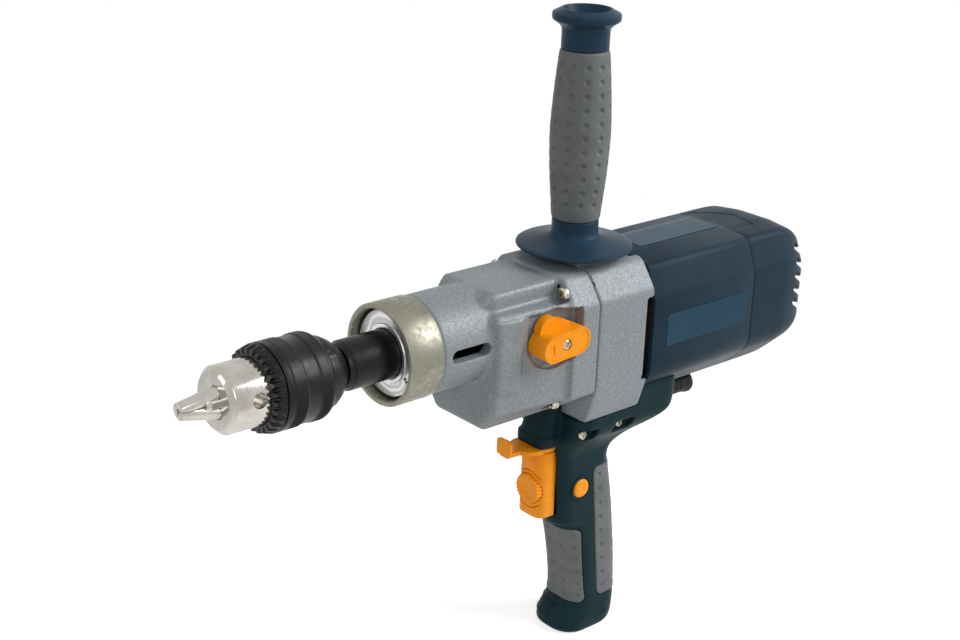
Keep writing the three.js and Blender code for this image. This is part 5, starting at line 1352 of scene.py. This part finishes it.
def pad(name, corners, end, slant, heights):
    """A rubber pad set into the grip, with soft edges and rows of round dents at these heights."""
    piece = grip_skin(name, PAD_PROUD)
    combine(piece, [grip_skin("pad_inside", -PAD_DEPTH)])
    combine(piece, [pad_region("pad_edge", corners)], "INTERSECT")
    spots = []
    for z in heights:
        for x, y, way in dent_places(end, slant, z):
            way = way.normalized()
            spots.append((at(x, y, z) + way * mm(PAD_PROUD), way))
    dented(piece, spots, sizes().pad_dent_radius)
    return cast(piece, sizes().rubber_voxel, 1)


def pad_edge(upper, lower, z):
    """Where a pad's slanting edge lies along the drill at a height."""
    return upper[0] + (lower[0] - upper[0]) * (upper[1] - z) / (upper[1] - lower[1])


def dent_places(end, slant, z):
    """Where a pad's dents lie at a height: beside the middle, on the corners and by the slanting edge.

    The pad is at the grip's front for end -1, and at its back for end 1.
    """
    front, back, half, corner = grip_row(z)
    x = front if end < 0 else back
    lean = math.sqrt(0.5)
    spread = corner * (1 - lean)
    spots = []
    for side in (-1, 1):
        spots.append((x, side * 5, Vector((end, 0, 0))))
        spots.append((x - end * spread, side * (half - spread), Vector((end * lean, side * lean, 0))))
        spots.append((pad_edge(*slant, z) + end * PAD_EDGE, side * half, Vector((0, side, 0))))
    return spots


# Controls

def trigger():
    """The trigger: a round-fronted shell with the dial's seat, a groove under it and a small stud."""
    front, rear, half = 114.6, 126.6, 10.7
    corners = [(front, -half, 10.5), (rear, -half, 0.4), (rear, half, 0.4), (front, half, 10.5)]
    piece = eased(prism("trigger_look", corners, "Z", -131.1, -88.4, 16), 0.8, 3, math.radians(50))
    groove = [(110, 11.6), (116.4, 11.6), (116.4, 12.4), (110, 12.4)]
    combine(piece, [
        rod("dial_seat", "X", 110, 118.1, 9.9, DIAL_FOOT, 96),
        turned("groove", groove, "X", DIAL_FOOT, 96, hollow=True),
    ])
    combine(piece, [
        rod("stem", "X", 124, 140.6, 3, DIAL_FOOT), rod("stud", "X", 115.6, 118, 1.3, (0, -6.2, -127.2), 24),
    ], "UNION")
    return smooth(piece)


def speed_dial():
    """The speed dial: a disc with a notched rim and a dished face."""
    points = []
    for k in range(DIAL_NOTCHES):
        for share, radius in ((0.0, 9.6), (0.22, 9.55), (0.38, 8.9), (0.62, 8.9), (0.78, 9.55)):
            angle = (k + share) * 2 * math.pi / DIAL_NOTCHES
            points.append((radius * math.cos(angle), DIAL_Z + radius * math.sin(angle)))
    small = [(u * 0.93, DIAL_Z + (v - DIAL_Z) * 0.93) for u, v in points]
    piece = lofted("speed_dial_look", "X", [(112.8, small), (113.6, points), (117.8, points)])
    combine(piece, [turned("dish", [(111, 7.4), (112.9, 7.0), (113.7, 4.6)], "X", DIAL_FOOT, 64)])
    return smooth(eased(piece, 0.18, 1))


def reverse_lever():
    """The reverse lever: a round plate under the visor, a tapering arm and an upright paddle."""
    low, high = -86.9, -84.3
    piece = rod("reverse_lever_look", "Z", low, high, 11.6, LEVER_FOOT, 96)
    paddle = [
        (x, rounded([(-half, low + 0.9, 1.2), (half, low + 0.9, 1.2), (half, top, 2.6), (-half, top, 2.6)]))
        for x, half, top in ((93, 6, -75.4), (95.2, 5.6, -76.0))
    ]
    combine(piece, [
        rod("plate_front", "Z", low, high, 11.3, (LEVER_X - 8, 0, 0), 96),
        prism("arm", [(93.2, -3.4, 0.5), (106, -4.6, 1), (106, 4.6, 1), (93.2, 3.4, 0.5)], "Z", low, high),
        lofted("paddle", "X", paddle),
        rod("pin", "Z", -85, -77.3, 3, LEVER_FOOT),
    ], "UNION")
    return smooth(eased(piece, 0.45, 3))


def lock_button():
    """The lock button, slightly domed."""
    profile = [(-18.4, 3.6), (-18.3, 4.6), (-17.9, 5.5), (-17.2, 6.05), (-16.4, 6.2), (-10.4, 6.2)]
    return smooth(turned("lock_button_look", profile, "Y", BUTTON, 64))


def cord_gland():
    """The cable gland: a rubber tube with shallow rings and a flared mouth."""
    profile = [(190, 4.2), (190, 9), (193, 9), (193, 6.2)]
    for k in range(9):
        x = 209.5 + 3.4 * k
        profile += [(x, 6.2), (x + 0.5, 5.7), (x + 1.3, 5.7), (x + 1.8, 6.2)]
    profile += [
        (240.5, 6.2), (243, 6.6), (245.4, 7.2), (247.2, 7.3), (248, 6.9), (248, 5.2), (247.4, 4.6),
        (240, 4.2),
    ]
    return smooth(turned("cord_gland_look", profile, "X", GLAND_FOOT, 64, hollow=True), math.radians(40))


class DRILL_OT_gearbox(bpy.types.Operator):
    """Model the two castings of the gearbox and their screws"""

    bl_idname = "drill.gearbox"
    bl_label = "Gearbox"

    def execute(self, context):
        paint = cast_paint()
        screw = plated_steel()
        dress(front_casting(), paint, ROOT, ["gearbox_front"])
        dress(rear_casting(), paint, ROOT, ["gearbox_rear"])
        for k, (y, z) in enumerate(SCREW_PLACES):
            name = f"gearbox_screw_{k + 1}"
            piece = cross_head(name + "_look", "X", 107.7, -1, 4, 3, 1.9, 133.7, (0, y, z), 0.4 + k)
            dress(piece, screw, ROOT, [name])
        return {"FINISHED"}


class DRILL_OT_selector(bpy.types.Operator):
    """Model the gear selector and its screw"""

    bl_idname = "drill.selector"
    bl_label = "Gear selector"

    def execute(self, context):
        dress(selector_knob(), orange_plastic(), "selector", ["selector_knob"])
        x, _, z = SELECTOR
        seat, end = KNOB_FACE_Y + 2, KNOB_FACE_Y + 12
        piece = cross_head("selector_screw_look", "Y", seat, -1, 3, 1.7, 1.5, end, (x, 0, z), 0.6)
        dress(piece, bpy.data.materials["zinc_plated_steel"], "selector", ["selector_screw"])
        return {"FINISHED"}


class DRILL_OT_motor(bpy.types.Operator):
    """Model the motor housing, its rear cap and the bare label films"""

    bl_idname = "drill.motor"
    bl_label = "Motor housing"

    def execute(self, context):
        navy = moulded_plastic("navy_nylon", colours().navy)
        dress(motor_housing(), navy, ROOT, ["motor_housing"])
        dress(rear_cap(), navy, ROOT, ["rear_cap"])
        film = label_film()
        for name in LABELS:
            dress(label(name), film)
        return {"FINISHED"}


class DRILL_OT_handle(bpy.types.Operator):
    """Model the side handle and its dented rubber"""

    bl_idname = "drill.handle"
    bl_label = "Side handle"

    def execute(self, context):
        glossy = moulded_plastic("handle_nylon", colours().handle, 0.34, 0.5)
        dress(side_handle(), glossy, ROOT, ["side_handle"])
        rubber = soft_rubber("grey_rubber_skin", colours().rubber)
        dress(handle_rubber(), rubber, ROOT, ["side_handle_rubber"])
        return {"FINISHED"}


class DRILL_OT_grip(bpy.types.Operator):
    """Model the pistol grip with its pads, screws and cable gland"""

    bl_idname = "drill.grip"
    bl_label = "Pistol grip"

    def execute(self, context):
        teal = moulded_plastic("teal_nylon", colours().teal, 0.46, 0.4)
        for half, node in zip(grip_halves(), ("grip_left", "grip_right")):
            dress(half, teal, ROOT, [node])
        rubber = bpy.data.materials["grey_rubber_skin"]
        front = pad("grip_pad_front_look", PAD_FRONT, -1, PAD_FRONT[1:3], [-149 - 8.9 * k for k in range(6)])
        dress(front, rubber, ROOT, ["grip_pad_front"])
        slant = (PAD_REAR[0], PAD_REAR[3])
        rear = pad("grip_pad_rear_look", PAD_REAR, 1, slant, [-110.2 - 10 * k for k in range(9)])
        dress(rear, rubber, ROOT, ["grip_pad_rear"])
        for k, x in enumerate(SCREW_XS):
            name = f"grip_screw_{k + 1}"
            foot = (x, 0, SCREW_Z)
            piece = cross_head(name + "_look", "Y", SCREW_SEAT_Y - 0.1, -1, 2.9, 1.9, 1.6, 12, foot, 0.3 + k)
            dress(piece, bpy.data.materials["zinc_plated_steel"], ROOT, [name])
        black = soft_rubber("black_rubber_skin", linear("#1A1A19"), 0.55)
        dress(cord_gland(), black, ROOT, ["cord_gland"])
        return {"FINISHED"}


class DRILL_OT_controls(bpy.types.Operator):
    """Model the trigger, the speed dial, the reverse lever and the lock button"""

    bl_idname = "drill.controls"
    bl_label = "Controls"

    def execute(self, context):
        orange = bpy.data.materials["orange_abs"]
        for piece, node in (
            (trigger(), "trigger"), (speed_dial(), "speed_dial"), (reverse_lever(), "reverse_lever"),
            (lock_button(), "lock_button"),
        ):
            dress(piece, orange, node, [node])
        return {"FINISHED"}


# Inside

INSIDE = {
    "machined_gear_steel": (
        "low_speed_gear", "high_speed_gear", "shift_clutch", "countershaft", "countershaft_gear",
        "selector_shaft", "selector_fork", "armature_shaft", "side_handle_stud",
    ),
    "ground_bearing_steel": (
        "spindle_bearing_front", "spindle_bearing_rear", "motor_bearing_front", "motor_bearing_rear",
    ),
    "enamelled_copper": (
        "countershaft_bearing_front", "countershaft_bearing_rear", "armature_winding", "commutator",
        "field_coil_upper", "field_coil_lower",
    ),
    "stacked_iron_sheet": ("armature_core", "field_stator"),
    "pressed_carbon": ("carbon_brush_left", "carbon_brush_right"),
    "black_moulding": ("cooling_fan", "brush_holder_left", "brush_holder_right", "switch_body"),
}


def gear_steel():
    """Machined steel under a film of oil: even grey with fine tool rings."""
    _, tree, shader = blank("machined_gear_steel", linear("#8F9191"), 0.34, 1.0)
    rings = patches(tree, 0.6, 1, (1, 0.02, 0.02))
    tinted(tree, shader, patches(tree, 5), linear("#7C7F80"), linear("#A4A6A5"))
    roughened(tree, shader, rings, 0.26, 0.42)
    raised(tree, shader, rings, 0.02, 0.5)


def bearing_steel():
    """Ground bearing steel: mirror-like, with the faint haze of handling."""
    _, tree, shader = blank("ground_bearing_steel", linear("#C9CACC"), 0.14, 1.0)
    roughened(tree, shader, patches(tree, 4, 3), 0.1, 0.22, CLOUD_SPAN)
    tinted(tree, shader, patches(tree, 7), linear("#B9BABD"), linear("#D6D6D6"))


def enamelled_copper():
    """Enamelled copper wire: red-brown turns with a varnish shine, 0.6 mm apart."""
    _, tree, shader = blank("enamelled_copper", linear("#A8622F"), 0.3, 0.9, Coat_Weight=0.4)
    turns = patches(tree, 0.6, 1, (1, 0.05, 0.05))
    tinted(tree, shader, turns, linear("#7E451F"), linear("#BF7A44"))
    raised(tree, shader, turns, 0.1, 0.7)


def stacked_iron():
    """Stacked iron sheet: dull grey, with the sheets' edges 0.5 mm apart along the shaft."""
    _, tree, shader = blank("stacked_iron_sheet", linear("#6B6863"), 0.5, 0.8)
    sheets = patches(tree, 0.5, 0, (1, 0.004, 0.004))
    tinted(tree, shader, sheets, linear("#55524E"), linear("#7E7A74"))
    raised(tree, shader, sheets, 0.06, 0.8)


def pressed_carbon():
    """Pressed graphite: black with a soft grey sheen."""
    _, tree, shader = blank("pressed_carbon", linear("#26262A"), 0.55, 0.1)
    tinted(tree, shader, patches(tree, 1.5, 4), linear("#1E1E21"), linear("#303034"))
    raised(tree, shader, patches(tree, 0.3), 0.02, 0.5)


class DRILL_OT_inside(bpy.types.Operator):
    """Give the gears, bearings, windings and switch inside their materials"""

    bl_idname = "drill.inside"
    bl_label = "Inside"

    def execute(self, context):
        for make in (gear_steel, bearing_steel, enamelled_copper, stacked_iron, pressed_carbon):
            make()
        moulded_plastic("black_moulding", linear("#1B1B1D"), 0.5, 0.5)
        for name, nodes in INSIDE.items():
            for node in nodes:
                for slot in bpy.data.objects[node].material_slots:
                    slot.material = bpy.data.materials[name]
        return {"FINISHED"}


# Stage

CAMERA_PLACE = (-0.599696, -0.639836, 0.553220)
CAMERA_TURN = (68.89616, -1.97531, -40.68713)
CAMERA_LENS = 61.875
FLOOR_SIZE = 6.0
SOFT_BOXES = (
    ("key_light", (0.95, -0.85, 1.1), (0.0, 0, 0.2), 0.9, 21.0),
    ("side_light", (-0.95, -1.2, 0.95), (0.0, 0, 0.2), 0.8, 6.0),
    ("rim_light", (-1.4, 0.5, 0.9), (0, 0, 0.2), 0.6, 4.0),
)
WORLD_FILL = 0.25
FLOOR_GLOW = 0.62
FLOOR_CLEAR = (0.28, 0.62)


def seen_rays(tree, otherwise):
    """1 for what the camera sees, also in a finish or through glass, and another value for light."""
    path = add(tree, "LightPath")
    for seen in ("Is Camera Ray", "Is Glossy Ray", "Is Transmission Ray"):
        otherwise = add(tree, "Math", {0: path.outputs[seen], 1: otherwise}, operation="MAXIMUM").outputs[0]
    return otherwise


def floor():
    """A wide pale floor with a faint unevenness, that takes the object's soft shadow."""
    take()
    bpy.ops.mesh.primitive_plane_add(size=FLOOR_SIZE, location=(0, 0, CAD_BOX[0][2]))
    piece = named("floor")
    edit(piece)
    bpy.ops.mesh.select_all(action="SELECT")
    bpy.ops.mesh.subdivide(number_cuts=4)
    leave()
    tint = colours().floor
    material, tree, shader = blank("studio_paper", tint, 0.85, Specular_IOR_Level=0.0)
    shader.inputs["Emission Color"].default_value = (1, 1, 1, 1)
    tinted(tree, shader, patches(tree, 60), shade(tint, 0.99), tint, (0, 1))
    place = add(tree, "TexCoord").outputs["Object"]
    away = add(tree, "VectorMath", {0: place}, operation="LENGTH").outputs["Value"]
    near, far = FLOOR_CLEAR
    tree.links.new(ranged(tree, away, near, far, 1, 0), shader.inputs["Alpha"])
    glow = add(tree, "Math", {0: seen_rays(tree, 0), 1: FLOOR_GLOW}, operation="MULTIPLY").outputs[0]
    tree.links.new(glow, shader.inputs["Emission Strength"])
    piece.data.materials.append(material)


def lights():
    """Soft boxes: the key light above the rear left, and dimmer ones at the front left and front right."""
    for name, place, aim, size, power in SOFT_BOXES:
        take()
        bpy.ops.object.light_add(type="AREA", location=place)
        lamp = bpy.context.active_object
        lamp.name = name
        lamp.data.size = size
        lamp.data.energy = power
        lamp.rotation_euler = (Vector(aim) - Vector(place)).to_track_quat("-Z", "Y").to_euler()


def surroundings():
    """A room that is white to the camera and in what the finishes mirror, and gives a dim fill light."""
    world = bpy.data.worlds.new("pale_room")
    bpy.context.scene.world = world
    world.use_nodes = True
    tree = world.node_tree
    tree.nodes["Background"].inputs["Color"].default_value = (1, 1, 1, 1)
    tree.links.new(seen_rays(tree, WORLD_FILL), tree.nodes["Background"].inputs["Strength"])


def camera():
    """The photograph's viewpoint: from above and in front of the drill's left side."""
    take()
    bpy.ops.object.camera_add(location=CAMERA_PLACE, rotation=[math.radians(a) for a in CAMERA_TURN])
    view = bpy.context.active_object
    view.data.lens = CAMERA_LENS
    view.data.sensor_width = 36
    view.data.clip_start = 0.01
    bpy.context.scene.camera = view


class DRILL_OT_stage(bpy.types.Operator):
    """Add the floor, the lights, the surroundings and the camera"""

    bl_idname = "drill.stage"
    bl_label = "Stage"

    def execute(self, context):
        floor()
        lights()
        surroundings()
        camera()
        context.scene.view_settings.view_transform = "Standard"
        return {"FINISHED"}


# Panel

OPERATORS = (
    DRILL_OT_stage,
    DRILL_OT_chuck,
    DRILL_OT_neck,
    DRILL_OT_gearbox,
    DRILL_OT_selector,
    DRILL_OT_motor,
    DRILL_OT_handle,
    DRILL_OT_grip,
    DRILL_OT_controls,
    DRILL_OT_inside,
)


class DRILL_PT_looks(bpy.types.Panel):
    """Lists the drill's groups of pieces, and its sizes and colours"""

    bl_label = "Electric Drill"
    bl_space_type = "VIEW_3D"
    bl_region_type = "UI"
    bl_category = "Drill"

    def draw(self, context):
        for operator in OPERATORS:
            self.layout.operator(operator.bl_idname)
        for group in (context.scene.drill_sizes, context.scene.drill_colours):
            box = self.layout.box()
            for name in group.bl_rna.properties.keys()[2:]:
                box.prop(group, name)


CLASSES = (DrillSizes, DrillColours, *OPERATORS, DRILL_PT_looks)


def register():
    """Registers the add-on's classes and its settings."""
    for kind in CLASSES:
        bpy.utils.register_class(kind)
    bpy.types.Scene.drill_sizes = bpy.props.PointerProperty(type=DrillSizes)
    bpy.types.Scene.drill_colours = bpy.props.PointerProperty(type=DrillColours)


def unregister():
    """Takes the add-on's settings and classes away again."""
    del bpy.types.Scene.drill_colours
    del bpy.types.Scene.drill_sizes
    for kind in reversed(CLASSES):
        bpy.utils.unregister_class(kind)


def main():
    """Builds the drill's looks group by group."""
    register()
    for operator in OPERATORS:
        group, name = operator.bl_idname.split(".")
        getattr(getattr(bpy.ops, group), name)()


if __name__ == "__main__":
    main()
